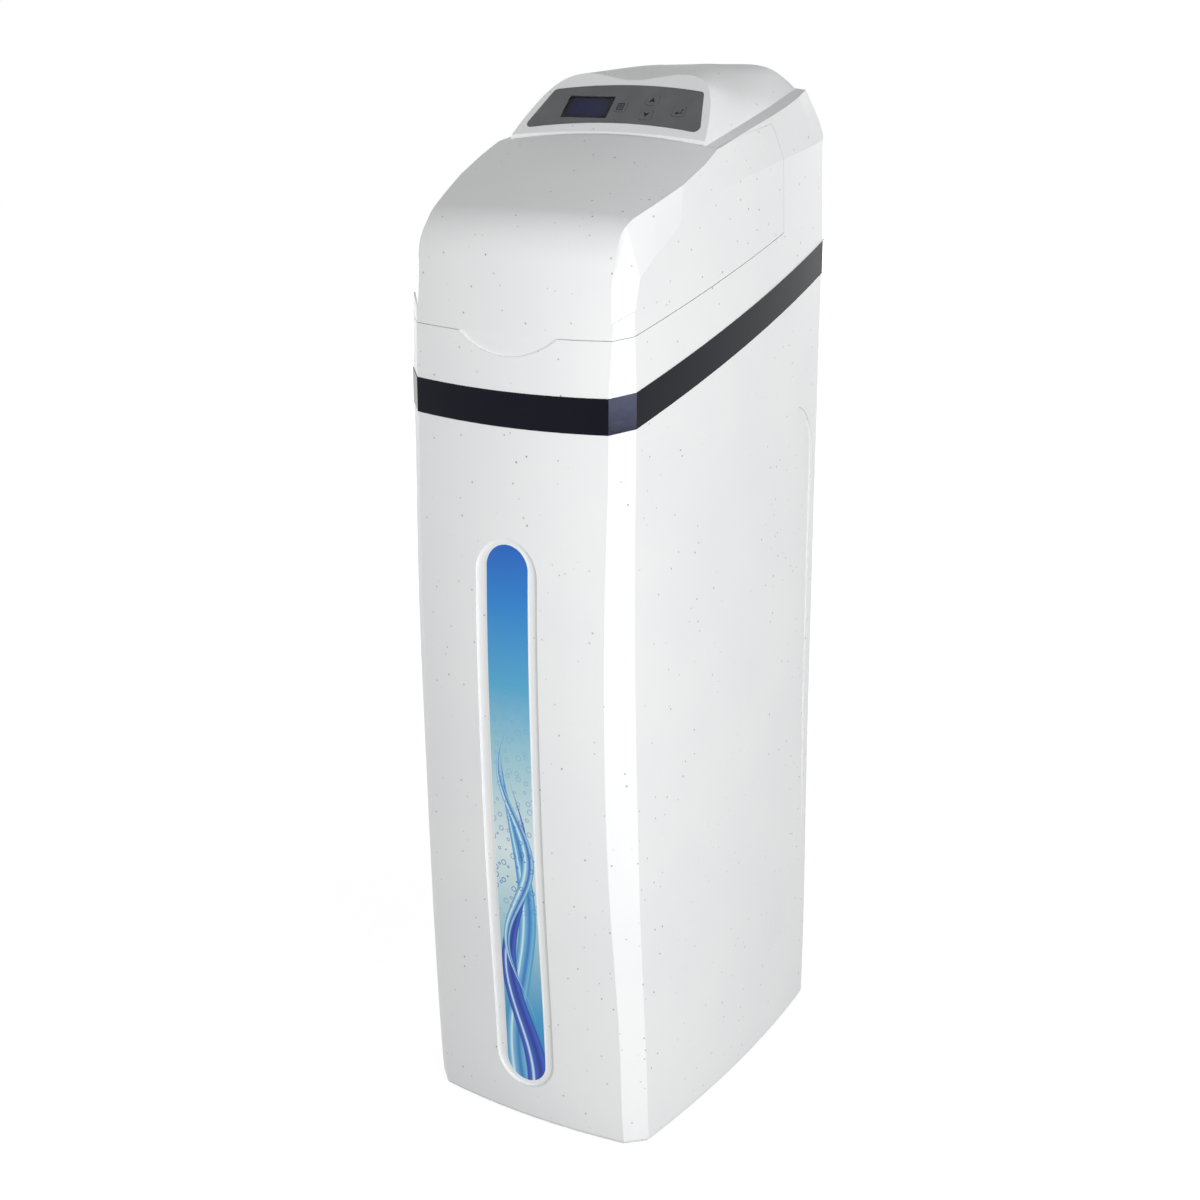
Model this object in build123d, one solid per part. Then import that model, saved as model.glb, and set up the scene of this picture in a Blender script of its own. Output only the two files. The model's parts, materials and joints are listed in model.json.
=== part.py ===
# Cabinet water softener: a tall moulded cabinet with a trim band, a hinged salt lid and a
# control hump, and inside it a resin vessel with its valve, and a brine well with a float.
# Millimetres. +X is right seen from the front, -Y is the front, +Z is up.
# The origin is on the floor, under the middle of the cabinet's depth and width.
import os
from functools import cache
from math import atan, cos, degrees, hypot, pi, radians, sin, sqrt, tan

from build123d import *

# Cabinet outline, in plan
DEPTH = 463.0
HALF_WIDTH = 134.8
FRONT_BOW = 9.6
SIDE_BOW = 10.5
CHAMFER = 19.5
REAR_RADIUS = 17.5

# Cabinet, from the floor up
FRONT_SWELL = 4.4
FOOT_SET_BACK = 26.5
FOOT_FLARE = 6.2
CHAMFER_SWELL = 4.5
SHAPED_HEIGHT = 809.5
LEVEL_SHARES = (0.0, 0.156, 0.312, 0.468, 0.624, 0.781, 0.926, 1.0)
SET_BACK_SHARES = (1.0, 0.65, 0.294, 0.015, -0.143, -0.166, -0.03, 0.0)
FLARE_SHARES = (1.0, 0.98, 0.645, 0.387, 0.242, 0.1, 0.01, 0.0)
CHAMFER_SHARES = (0.07, 0.24, 0.6, 1.0, 0.93, 0.53, 0.07, 0.0)
CABINET_WALL = 4.0
FLOOR_THICKNESS = 6.0
FOOT_EDGE_RADIUS = 7.0

# Trim band, which rises to the rear with the cabinet's mouth
BAND_LEVEL = 809.5
BAND_HEIGHT = 36.0
BAND_RISE = 0.2576
BAND_PROUD = 0.8
RIM_STEP = 1.7

# Recess and decorative strip on the front
RECESS_DEPTH = 3.0
RECESS_HALF_WIDTH = 38.0
STRIP_HALF_WIDTH = 26.6
STRIP_THICKNESS = 0.6
STRIP_BOTTOM = 50.0
STRIP_TOP = 686.0

# Shallow panel on each side, which fades out towards the foot: its outline is in shares of
# the depth and of the shaped height
SIDE_PANEL_DEPTH = 2.6
SIDE_PANEL_RADIUS = 60.0
SIDE_PANEL_Y_SHARES = (-0.231, -0.289, -0.287, 0.443, 0.443)
SIDE_PANEL_LEVEL_SHARES = (0.25, 0.62, 0.8336, 0.9957, 0.25)
SIDE_PANEL_FADE_SHARES = (-0.3, -0.3, 0.2, 0.85, 1.0, 1.0, 1.0, 1.0)

# Hood: the shape that the cover and the salt lid share
HOOD_WALL = 3.0
SIDE_DRAFT = 2.0
FRONT_DRAFT = 3.5
HOOD_FRONT_RADIUS = 60.0
HOOD_HALF_SPAN = 150.0
ROOF_SLOPE = 0.43
ROOF_LEVEL = 1074.5
ROOF_END_Y = -38.0
ROOF_CROWN = 7.5
SHOULDER_SLOPE = 0.171
HOOD_HEIGHT = 340.0
SKIRT_THICKNESS = 2.0
SKIRT_REACH = 22.0
SKIRT_CLEARANCE = 0.2

# Bevel along the hood's edge, from the front chamfer to the rear: places along the depth,
# then the crease's and foot's distance from the wall as shares of the chamfer, and the
# crease's fall below the roof line and height over the foot as shares of the front radius
BEVEL_Y_SHARES = (-0.4665, -0.449, -0.428, -0.364, -0.292, -0.205, -0.104, 0.082, 0.203, 0.52)
BEVEL_CREASE_SHARES = (0.75, 0.71, 0.7, 0.61, 0.3, 0.08, 0.19, 0.66, 0.8, 1.29)
BEVEL_FOOT_SHARES = (0.77, 0.47, 0.04, 0.0, 0.0, 0.0, 0.0, 0.0, 0.0, 0.0)
BEVEL_FALL_SHARES = (1.22, 0.42, 0.18, 0.0, 0.0, 0.0, 0.0, 0.0, 0.0, 0.04)
BEVEL_DROP_SHARES = (0.67, 0.68, 0.92, 0.74, 0.6, 0.63, 0.69, 0.7, 0.73, 0.8)
BEVEL_STEPS = 12

# Control hump: stations along the depth, half widths as shares of the cabinet's, and
# heights as shares of the hump's rise over the roof level
HUMP_RISE = 74.5
HUMP_BASE_DROP = 64.5
HUMP_Y_SHARES = (-0.13, 0.032, 0.134, 0.315, 0.4925)
HUMP_FOOT_SHARES = (0.898, 0.853, 0.82, 0.779, 0.734)
HUMP_FLANK_SHARES = (0.831, 0.749, 0.653, 0.582, 0.549)
HUMP_FLANK_RISE_SHARES = (0.356, 0.597, 0.718, 0.785, 0.819)
HUMP_EDGE_SHARES = (0.772, 0.697, 0.504, 0.46, 0.445)
HUMP_EDGE_RISE_SHARES = (0.517, 0.738, 0.893, 0.933, 0.926)
HUMP_CROWN_SHARES = (0.57, 0.799, 0.946, 0.993, 1.0)

# Salt lid
SEAM_GAP = 0.8
SEAM_LEVEL = 900.5
SEAM_RISE = 0.24
SEAM_BOW = 7.4
LID_REAR_Y = 103.0
EAR_FRONT_X = 131.0
EAR_REAR_X = 124.0
EAR_RADIUS = 14.0
LIP_THICKNESS = 2.0
LIP_CLEARANCE = 0.6
LIP_HEIGHT = 6.0
LIP_SWEEP = 32.0
CHEEK_X = 116.5
CHEEK_THICKNESS = 3.0
CHEEK_LIFT = 2.0
PARTITION_Y = -29.0
SCOOP_HALF_WIDTH = 62.0
SCOOP_HEIGHT = 24.0
SCOOP_DEPTH = 2.0
HINGE_Z = 1082.0
HINGE_PIN_RADIUS = 3.0
HINGE_PIN_LENGTH = 9.0
HINGE_HEAD_RADIUS = 5.0
HINGE_HEAD_THICKNESS = 2.0
HINGE_LUG_RADIUS = 7.0
HINGE_END_GAP = 0.8
RUNNING_FIT = 0.05

# Control panel, on a slope of 45 degrees
PANEL_FOOT_Y = -28.0
PANEL_FOOT_Z = 1087.0
PANEL_REACH = 150.0
FASCIA_BOTTOM_X = 108.0
FASCIA_TOP_X = 91.0
FASCIA_BOTTOM = -1.0
FASCIA_HEIGHT = 54.4
FASCIA_BOTTOM_BOW = 10.5
FASCIA_TOP_BOW = 7.6
FASCIA_CORNER = 6.0
FASCIA_PROUD = 0.2
FASCIA_SEAT = 2.0
FASCIA_CLEARANCE = 0.15
PAD_DEPTH = 5.0
PAD_MARGIN = 3.0
WINDOW_X = -39.7
WINDOW_Y = 30.8
WINDOW_WIDTH = 57.0
WINDOW_HEIGHT = 30.0
WINDOW_THICKNESS = 2.0
WINDOW_CORNER = 1.5
MODULE_MARGIN = 2.0
KEY_WIDTH = 14.0
KEY_HEIGHT = 13.0
KEY_CORNER = 3.0
KEY_GAP = 0.25
KEY_PROUD = 0.8
KEY_FLANGE = 1.2
KEY_FLANGE_THICKNESS = 1.0
KEY_REST_GAP = 0.1
KEY_X = (0.6, 35.6, 35.6, 72.6)
KEY_Y = (31.5, 41.2, 21.4, 27.0)
KEY_NAMES = ("key_menu", "key_up", "key_down", "key_confirm")
SWITCH_GAP = 0.9
SWITCH_SIZE = 6.0
SWITCH_HEIGHT = 2.4
BOARD_THICKNESS = 1.6
BOARD_LEFT = -82.0
BOARD_RIGHT = 84.0
BOARD_BOTTOM = 11.0
BOARD_TOP = 49.0
POST_RADIUS = 3.2
POST_INSET = 5.0
BOARD_SCREW_RADIUS = 1.25
BOARD_SCREW_LENGTH = 5.0
BOARD_SCREW_HEAD = 2.4
BOARD_SCREW_HEAD_HEIGHT = 1.6

# Rear port opening in the cover
PORT_OPENING_HALF_WIDTH = 98.0
PORT_OPENING_BOTTOM = 966.0
PORT_OPENING_TOP = 1050.0
PORT_OPENING_CORNER = 8.0

# Resin vessel
VESSEL_Y = 94.0
VESSEL_RADIUS = 128.5
VESSEL_WALL = 3.0
VESSEL_DOME = 66.0
VESSEL_KNUCKLE = 40.0
VESSEL_BASE = 22.0
VESSEL_TOP = 912.0
NECK_RADIUS = 38.0
NECK_BORE = 31.5
NECK_LENGTH = 34.0
BOOT_RADIUS = 127.0
BOOT_HEIGHT = 62.0
BOOT_OPENING = 78.0
SEAT_GAP = 0.3
RISER_RADIUS = 13.4
RISER_WALL = 1.6
STRAINER_RADIUS = 27.0
STRAINER_HEIGHT = 60.0
STRAINER_WALL = 2.5
STRAINER_RIBS = 12
STRAINER_SLOT = 2.6
UPPER_STRAINER_RADIUS = 29.0
UPPER_STRAINER_HEIGHT = 30.0
RESIN_LEVEL = 640.0

# Control valve
VALVE_FLANGE_RADIUS = 52.0
VALVE_FLANGE_HEIGHT = 12.0
VALVE_WIDTH = 96.0
VALVE_DEPTH = 84.0
VALVE_HEIGHT = 86.0
VALVE_CORNER = 12.0
CHAMBER_RADIUS = 40.0
CHAMBER_HEIGHT = 22.0
CHAMBER_BORE = 33.0
CHAMBER_DEPTH = 16.0
DISC_RADIUS = 32.6
DISC_THICKNESS = 8.0
STEM_RADIUS = 6.0
PORT_X = 40.0
PORT_Z = 988.0
PORT_RADIUS = 18.0
PORT_BORE = 10.5
PORT_REACH = 26.0
SPIGOT_WALL = 2.5
THREAD_RADIUS = 16.6
THREAD_LENGTH = 24.0
ADAPTER_END_Y = 229.0
ADAPTER_NUT = 20.0
ADAPTER_NUT_LENGTH = 18.0
DRAIN_RADIUS = 10.4
DRAIN_BORE = 5.0
DRAIN_LENGTH = 22.0
DRAIN_Y = 74.0
DRAIN_REACH = 30.0
DRAIN_LEG_RADIUS = 8.0
DRAIN_NUT = 12.5
DRAIN_NUT_LENGTH = 8.0
PLATE_THICKNESS = 4.0
PLATE_HALF_WIDTH = 44.0
PLATE_MARGIN = 4.0
GEAR_MODULE = 1.25
GEAR_TEETH = 60
PINION_TEETH = 15
GEAR_THICKNESS = 8.0
GEAR_BACKLASH = 0.2
PRESSURE_ANGLE = 20.0
GEAR_LIFT = 0.6
GEAR_WEB = 3.0
GEAR_RIM = 4.0
SPOKE_HOLES = 6
FLANK_STEPS = 3
MOTOR_RADIUS = 15.0
MOTOR_HEIGHT = 30.0
SHAFT_RADIUS = 2.5
BRACKET_THICKNESS = 3.0
BRACKET_GAP = 1.2
BRACKET_POST_RADIUS = 4.0
PILLAR_X = 34.0
BRACKET_SCREW_RADIUS = 1.5
TURBINE_RADIUS = 9.6
TURBINE_LENGTH = 9.0
TURBINE_HUB = 2.6
TURBINE_PIN = 1.0
TURBINE_BLADES = 6
TURBINE_BLADE = 1.0
BLADE_TWIST = 28.0
SPIDER_THICKNESS = 2.0

# Brine well, float and line
WELL_X = -80.0
WELL_Y = -128.0
WELL_RADIUS = 45.0
WELL_WALL = 2.5
WELL_HEIGHT = 756.0
WELL_SLOT_WIDTH = 8.0
WELL_SLOT_HEIGHT = 46.0
WELL_SLOTS = 8
CAP_SKIRT = 12.0
CAP_THICKNESS = 2.5
FLOAT_OFFSET = 14.0
PICKUP_OFFSET = 22.0
PICKUP_RADIUS = 6.0
PICKUP_BORE = 4.0
PICKUP_FOOT = 46.0
ROD_RADIUS = 2.4
ROD_FOOT = 80.0
SAFETY_RADIUS = 17.0
SAFETY_HEIGHT = 50.0
SAFETY_LEVEL = 660.0
FLOAT_RADIUS = 17.5
FLOAT_HEIGHT = 62.0
FLOAT_REST = 150.0
FLOAT_TRAVEL = 180.0
FLOAT_BORE_GAP = 0.4
COLLAR_RADIUS = 6.0
COLLAR_HEIGHT = 8.0
AIR_CHECK_RADIUS = 10.5
AIR_CHECK_HEIGHT = 60.0
LINE_RADIUS = 4.8
LINE_BORE = 3.2
ELBOW_RADIUS = 8.0
ELBOW_BULGE = 0.6
ELBOW_NUT = 9.0
ELBOW_NUT_LENGTH = 10.0
WELL_ELBOW_RISE = 20.0
VALVE_ELBOW_Z = 958.0
VALVE_ELBOW_Y = 76.0
VALVE_ELBOW_REACH = 18.0
LINE_Y = (-76.0, -24.0, 8.0)
LINE_RISE_SHARES = (0.0, 0.48, 1.0)
LINE_ACROSS_SHARES = (0.0, 0.4, 1.0)
LINE_ARC_SHARE = 0.45

# Overflow on the rear wall
OVERFLOW_X = -92.0
OVERFLOW_LEVEL = 800.0
OVERFLOW_RADIUS = 11.0
OVERFLOW_BORE = 8.0
OVERFLOW_FLANGE = 18.0
OVERFLOW_FLANGE_THICKNESS = 3.0
OVERFLOW_REACH = 31.0
OVERFLOW_TAIL = 30.0
OVERFLOW_NUT = 16.0
OVERFLOW_NUT_THICKNESS = 6.0

# Screws that hold the cover to the cabinet, through the band at the rear
COVER_SCREW_X = 96.0
COVER_SCREW_DROP = 11.0
COVER_SCREW_RADIUS = 2.0
COVER_SCREW_HEAD = 4.5
COVER_SCREW_HEAD_HEIGHT = 2.0

OVERRUN = 200.0
SMALL_OVERRUN = 1.0

# Places that follow from the sizes above
REAR_Y = DEPTH / 2
CORNER_Y = -DEPTH / 2 + FRONT_BOW + FRONT_SWELL
CREASE_X = HALF_WIDTH - CHAMFER
BAND_TOP_LEVEL = BAND_LEVEL + BAND_HEIGHT
SIDE_MID_Y = (CORNER_Y + CHAMFER + REAR_Y - REAR_RADIUS) / 2
SIDE_HALF_SPAN = (REAR_Y - REAR_RADIUS - CORNER_Y - CHAMFER) / 2
EIGHTH_TURN = tan(pi / 8)
LIP_INSET = HOOD_WALL + LIP_CLEARANCE
LIP_INNER = LIP_INSET + LIP_THICKNESS
SKIRT_INSET = CABINET_WALL + SKIRT_CLEARANCE
HINGE_Y = LID_REAR_Y - EAR_RADIUS
PANEL = Plane(origin=(0, PANEL_FOOT_Y, PANEL_FOOT_Z), x_dir=(1, 0, 0), z_dir=(0, -1, 1))
GEAR_DISTANCE = GEAR_MODULE * (GEAR_TEETH + PINION_TEETH) / 2
FLANGE_TOP = VESSEL_TOP + SEAT_GAP + VALVE_FLANGE_HEIGHT
BLOCK_TOP = FLANGE_TOP + VALVE_HEIGHT
CHAMBER_TOP = BLOCK_TOP + CHAMBER_HEIGHT
PLATE_TOP = CHAMBER_TOP + PLATE_THICKNESS
GEAR_Z = PLATE_TOP + GEAR_LIFT
BRACKET_Z = GEAR_Z + GEAR_THICKNESS + BRACKET_GAP
PINION_Y = VESSEL_Y + GEAR_DISTANCE
KEY_REAR = -PAD_DEPTH - KEY_REST_GAP - KEY_FLANGE_THICKNESS
BOARD_FRONT = KEY_REAR - SWITCH_GAP - SWITCH_HEIGHT
CAP_TOP = FLOOR_THICKNESS + WELL_HEIGHT + CAP_THICKNESS
TURBINE_Y = ADAPTER_END_Y - 2 * THREAD_LENGTH
FLOAT_X = WELL_X - FLOAT_OFFSET
PICKUP_X = WELL_X + PICKUP_OFFSET


def vessel_crown(inset):
    """Radius of the vessel's domed ends between their rounded edges"""
    radius, dome, knuckle = VESSEL_RADIUS - inset, VESSEL_DOME - inset, VESSEL_KNUCKLE - inset
    return (dome ** 2 + (radius - knuckle) ** 2 - knuckle ** 2) / (2 * (dome - knuckle))


DOME_RISE = STRAINER_RADIUS ** 2 / (2 * vessel_crown(VESSEL_WALL))
STRAINER_FOOT = VESSEL_BASE + VESSEL_WALL + DOME_RISE + SEAT_GAP


def band_z(y, level=BAND_LEVEL):
    """Height of a plane that rises to the rear like the band"""
    return level + BAND_RISE * (y - CORNER_Y)


def band_top_z(y):
    """Height of the band's top face"""
    return band_z(y, BAND_TOP_LEVEL)


def seam_z(y):
    """Height of the lid's lower seam"""
    return SEAM_LEVEL + SEAM_RISE * (y - CORNER_Y)


def roof_z(y):
    """Height of the hood's roof line, and of its shoulder line behind that"""
    slope = ROOF_SLOPE if y < ROOF_END_Y else SHOULDER_SLOPE
    return ROOF_LEVEL + slope * (y - ROOF_END_Y)


def wall_x(y, z):
    """Half width of the hood's drafted side wall"""
    bow = SIDE_BOW * (1 - ((y - SIDE_MID_Y) / SIDE_HALF_SPAN) ** 2)
    return HALF_WIDTH + bow - tan(radians(SIDE_DRAFT)) * (z - band_top_z(y))


def yz_prism(points, x_from, x_to):
    """Extrude an outline drawn in Y and Z along X"""
    face = Face(Wire.make_polygon([(x_from, y, z) for y, z in points], close=True))
    return extrude(face, amount=x_to - x_from, dir=(1, 0, 0))


def above(plane_z, lift=0.0):
    """Everything above a rising plane"""
    front, rear = -DEPTH, DEPTH
    top = plane_z(rear) + DEPTH
    points = ((front, plane_z(front) + lift), (rear, plane_z(rear) + lift), (rear, top), (front, top))
    return yz_prism(points, -DEPTH, DEPTH)


def tube(radius, height, center, axis=(0, 0, 1)):
    """A cylinder that starts at a point and runs along an axis"""
    return Plane(origin=center, z_dir=axis) * Cylinder(
        radius, height, align=(Align.CENTER, Align.CENTER, Align.MIN))


def hexagon_bar(flats, height, center, axis=(0, 0, 1)):
    """A hexagonal bar, by its radius to the flats"""
    plane = Plane(origin=center, z_dir=axis)
    return extrude(plane * RegularPolygon(flats, 6, major_radius=False), amount=height)


def elbow_hub(radius, center, axis):
    """The short round block where an elbow's two legs meet"""
    start = Vector(*center) - Vector(*axis) * radius
    return tube(radius, 2 * radius, tuple(start), axis)


def block(x_from, x_to, y_from, y_to, z_from, z_to):
    """A box between two corners"""
    return Pos((x_from + x_to) / 2, (y_from + y_to) / 2, (z_from + z_to) / 2) * Box(
        x_to - x_from, y_to - y_from, z_to - z_from)


def both_sides(shape):
    """A shape and its mirror image across the middle"""
    return shape + mirror(shape, about=Plane.YZ)


def plan_wire(z_of, half_width, corner_y, leg, inset):
    """The cabinet's outline in plan, set in by an amount, with its height from z_of"""
    def point(x, y):
        return (x, y, z_of(y))

    half = half_width - leg - inset * EIGHTH_TURN
    side = half_width - inset
    front = corner_y + inset
    side_front = corner_y + leg + inset * EIGHTH_TURN
    rear = REAR_Y - inset
    corner = max(REAR_RADIUS - inset, SMALL_OVERRUN)
    side_rear = rear - corner
    mid = (side_front + side_rear) / 2
    tip = corner * (1 - sqrt(2) / 2)
    edges = [ThreePointArc(point(-half, front), point(0, front - FRONT_BOW), point(half, front)),
             Line(point(half, front), point(side, side_front)),
             ThreePointArc(point(side, side_front), point(side + SIDE_BOW, mid), point(side, side_rear)),
             ThreePointArc(point(side, side_rear), point(side - tip, rear - tip), point(side - corner, rear)),
             Line(point(side - corner, rear), point(corner - side, rear)),
             ThreePointArc(point(corner - side, rear), point(tip - side, rear - tip),
                           point(-side, side_rear)),
             ThreePointArc(point(-side, side_rear), point(-side - SIDE_BOW, mid), point(-side, side_front)),
             Line(point(-side, side_front), point(-half, front))]
    return Wire(edges)


@cache
def cabinet_solid(inset, bottom=0.0, fade=False):
    """The cabinet's swelling outer shape, or the same shape set in"""
    wires = []
    for level, back, flare, chamfer, depth in zip(LEVEL_SHARES, SET_BACK_SHARES, FLARE_SHARES,
                                                  CHAMFER_SHARES, SIDE_PANEL_FADE_SHARES):
        z = level * SHAPED_HEIGHT
        sunk = inset + SIDE_PANEL_DEPTH * depth if fade else inset
        wires.append(plan_wire(lambda y, z=z: z, HALF_WIDTH + FOOT_FLARE * flare,
                               CORNER_Y + FOOT_SET_BACK * back, CHAMFER + CHAMFER_SWELL * chamfer, sunk))
    top = band_z(REAR_Y, BAND_TOP_LEVEL) + BAND_HEIGHT
    sunk = inset + SIDE_PANEL_DEPTH if fade else inset
    wires.append(plan_wire(lambda y: top, HALF_WIDTH, CORNER_Y, CHAMFER, sunk))
    solid = Solid.make_loft(wires)
    if bottom > 0:
        solid -= block(-DEPTH, DEPTH, -DEPTH, DEPTH, -bottom, bottom)
    return solid


@cache
def rising_prism(inset, low, high, draft=0.0):
    """A plan outline between two planes that rise with the band, low and high over its top"""
    wires = []
    for lift in (low, high):
        half_width = HALF_WIDTH - tan(radians(draft)) * lift
        wires.append(plan_wire(lambda y, lift=lift: band_top_z(y) + lift, half_width,
                               CORNER_Y, CHAMFER, inset))
    return Solid.make_loft(wires, ruled=True)


def stadium(half_width, z_low, z_high):
    """An upright stadium-shaped prism that runs from the front to the middle"""
    height = z_high - z_low
    outline = Plane.XZ * Pos(0, (z_low + z_high) / 2) * SlotOverall(height, 2 * half_width, rotation=90)
    return extrude(outline, amount=DEPTH)


def side_panel():
    """Outline of the shallow panel on each side, as a prism across the cabinet"""
    points = [(y * DEPTH, level * SHAPED_HEIGHT)
              for y, level in zip(SIDE_PANEL_Y_SHARES, SIDE_PANEL_LEVEL_SHARES)]
    face = make_face(Plane.YZ * Polyline(*points, close=True))
    face = fillet(face.vertices(), SIDE_PANEL_RADIUS)
    return extrude(face, amount=DEPTH, both=True)


def meet(point, way, other, other_way):
    """Where two lines in a plane cross"""
    cross = way[0] * other_way[1] - way[1] * other_way[0]
    share = ((other[0] - point[0]) * other_way[1] - (other[1] - point[1]) * other_way[0]) / cross
    return (point[0] + share * way[0], point[1] + share * way[1])


def moved(point, way, amount):
    """A point moved along a way"""
    return (point[0] + amount * way[0], point[1] + amount * way[1])


def hood_profile(x, inset):
    """Side view of the hood at one place across its width, as a closed wire"""
    spread = 1 - (x / CREASE_X) ** 2
    front_way = (sin(radians(FRONT_DRAFT)), cos(radians(FRONT_DRAFT)))
    roof_way = (1 / hypot(1, ROOF_SLOPE), ROOF_SLOPE / hypot(1, ROOF_SLOPE))
    rear_way = (1 / hypot(1, SHOULDER_SLOPE), SHOULDER_SLOPE / hypot(1, SHOULDER_SLOPE))
    front_foot = (CORNER_Y - FRONT_BOW * spread, BAND_TOP_LEVEL)
    front_point = moved(front_foot, (front_way[1], -front_way[0]), inset)
    ridge = (ROOF_END_Y, ROOF_LEVEL + ROOF_CROWN * spread)
    roof_point = moved(ridge, (roof_way[1], -roof_way[0]), inset)
    rear_point = moved(ridge, (rear_way[1], -rear_way[0]), inset)
    corner = meet(front_point, front_way, roof_point, roof_way)
    bend = meet(roof_point, roof_way, rear_point, rear_way)
    radius = HOOD_FRONT_RADIUS - inset
    half_turn = (radians(90 - FRONT_DRAFT) - atan(ROOF_SLOPE)) / 2
    reach = radius * tan(half_turn)
    inward = (roof_way[0] - front_way[0], roof_way[1] - front_way[1])
    inward = (inward[0] / hypot(*inward), inward[1] / hypot(*inward))
    start = moved(corner, front_way, -reach)
    middle = moved(corner, inward, radius / cos(half_turn) - radius)
    end = moved(corner, roof_way, reach)
    floor = ((0, BAND_LEVEL - BAND_HEIGHT), (1, 0))
    back = ((REAR_Y + BAND_HEIGHT, 0), (0, 1))
    low_front = meet(front_point, front_way, *floor)
    low_rear = meet(*back, *floor)
    high_rear = meet(rear_point, rear_way, *back)
    places = [(x, y, z) for y, z in (low_front, start, middle, end, bend, high_rear, low_rear)]
    return Wire([Line(places[0], places[1]), ThreePointArc(*places[1:4]), Line(places[3], places[4]),
                 Line(places[4], places[5]), Line(places[5], places[6]), Line(places[6], places[0])])


@cache
def bevel_lines():
    """The crease over the bevel and the line at its foot, as smooth curves"""
    creases, feet = [], []
    for y_share, crease, foot, fall, drop in zip(BEVEL_Y_SHARES, BEVEL_CREASE_SHARES, BEVEL_FOOT_SHARES,
                                                 BEVEL_FALL_SHARES, BEVEL_DROP_SHARES):
        y = y_share * DEPTH
        crease_z = roof_z(y) - fall * HOOD_FRONT_RADIUS
        foot_z = crease_z - drop * HOOD_FRONT_RADIUS
        creases.append((wall_x(y, crease_z) - crease * CHAMFER, y, crease_z))
        feet.append((wall_x(y, foot_z) - foot * CHAMFER, y, foot_z))
    return Spline(*creases), Spline(*feet)


def bevel_cutter(inset):
    """What the bevel takes off one edge of the hood"""
    crease_line, foot_line = bevel_lines()
    wires = []
    for step in range(BEVEL_STEPS, -1, -1):
        crease = crease_line @ (step / BEVEL_STEPS)
        foot = foot_line @ (step / BEVEL_STEPS)
        way = (crease - foot).normalized()
        out = Vector(way.Z, 0, -way.X).normalized()
        high = crease + way * HOOD_FRONT_RADIUS / 4 - out * inset
        low = foot - way * HOOD_FRONT_RADIUS / 4 - out * inset
        away = out * HOOD_FRONT_RADIUS
        wires.append(Wire.make_polygon([low, low + away, high + away, high], close=True))
    return Solid.make_loft(wires, ruled=True)


@cache
def hood_base(inset, low=0.0):
    """The hood without its hump, set in by an amount"""
    form = Solid.make_loft([hood_profile(x, inset) for x in (-HOOD_HALF_SPAN, 0, HOOD_HALF_SPAN)])
    solid = form & rising_prism(inset, low, HOOD_HEIGHT, SIDE_DRAFT)
    cutter = bevel_cutter(inset)
    solid -= cutter
    solid -= mirror(cutter, about=Plane.YZ)
    return solid


def panel_side(depth):
    """Everything in front of the control panel's plane, which may be set in"""
    way = (sqrt(0.5), sqrt(0.5))
    out = (-way[1], way[0])
    foot = moved((PANEL_FOOT_Y, PANEL_FOOT_Z), out, -depth)
    points = [moved(foot, way, -PANEL_REACH), moved(foot, way, PANEL_REACH)]
    points += [moved(point, out, PANEL_REACH) for point in reversed(points)]
    return yz_prism(points, -DEPTH, DEPTH)


@cache
def hump(inset):
    """The control hump behind the lid, set in by an amount"""
    wires = []
    base = ROOF_LEVEL - HUMP_BASE_DROP - inset
    for places in zip(HUMP_Y_SHARES, HUMP_FOOT_SHARES, HUMP_FLANK_SHARES, HUMP_FLANK_RISE_SHARES,
                      HUMP_EDGE_SHARES, HUMP_EDGE_RISE_SHARES, HUMP_CROWN_SHARES):
        y_share, foot, flank, flank_rise, edge, edge_rise, crown = places
        y = y_share * DEPTH
        y -= inset if y_share == HUMP_Y_SHARES[-1] else 0
        half = [(foot * HALF_WIDTH - inset, roof_z(y) - 2 * HOOD_WALL),
                (flank * HALF_WIDTH - inset, ROOF_LEVEL + HUMP_RISE * flank_rise - inset),
                (edge * HALF_WIDTH - inset, ROOF_LEVEL + HUMP_RISE * edge_rise - inset)]
        points = [(-x, y, z) for x, z in half]
        points.append((0, y, ROOF_LEVEL + HUMP_RISE * crown - inset))
        points += [(x, y, z) for x, z in reversed(half)]
        left, right = points[0], points[-1]
        left_base = (left[0], y, base)
        right_base = (right[0], y, base)
        wires.append(Wire([Line(right_base, left_base), Line(left_base, left), Spline(*points),
                           Line(right, right_base)]))
    return Solid.make_loft(wires) - panel_side(inset)


@cache
def lid_region(grow):
    """The space over the salt lid's seams, with each seam moved out by an amount"""
    rear = LID_REAR_Y + grow
    front_x, rear_x = EAR_FRONT_X - grow, EAR_REAR_X - grow
    arc_y = ROOF_END_Y + grow
    corners = [(-DEPTH, -DEPTH), (DEPTH, -DEPTH), (DEPTH, rear), (rear_x, rear), (front_x, arc_y)]
    edges = [Line(start, end) for start, end in zip(corners, corners[1:])]
    edges.append(ThreePointArc((front_x, arc_y), (0, arc_y + SEAM_BOW), (-front_x, arc_y)))
    corners = [(-front_x, arc_y), (-rear_x, rear), (-DEPTH, rear), (-DEPTH, -DEPTH)]
    edges += [Line(start, end) for start, end in zip(corners, corners[1:])]
    plan = extrude(make_face(edges), amount=2 * HINGE_Z)
    region = plan & above(seam_z, -grow)
    radius = EAR_RADIUS + grow
    corner = block(-DEPTH, DEPTH, HINGE_Y, rear + radius, HINGE_Z, HINGE_Z + DEPTH)
    corner -= tube(radius, 2 * DEPTH, (-DEPTH, HINGE_Y, HINGE_Z), (1, 0, 0))
    return region - corner


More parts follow.
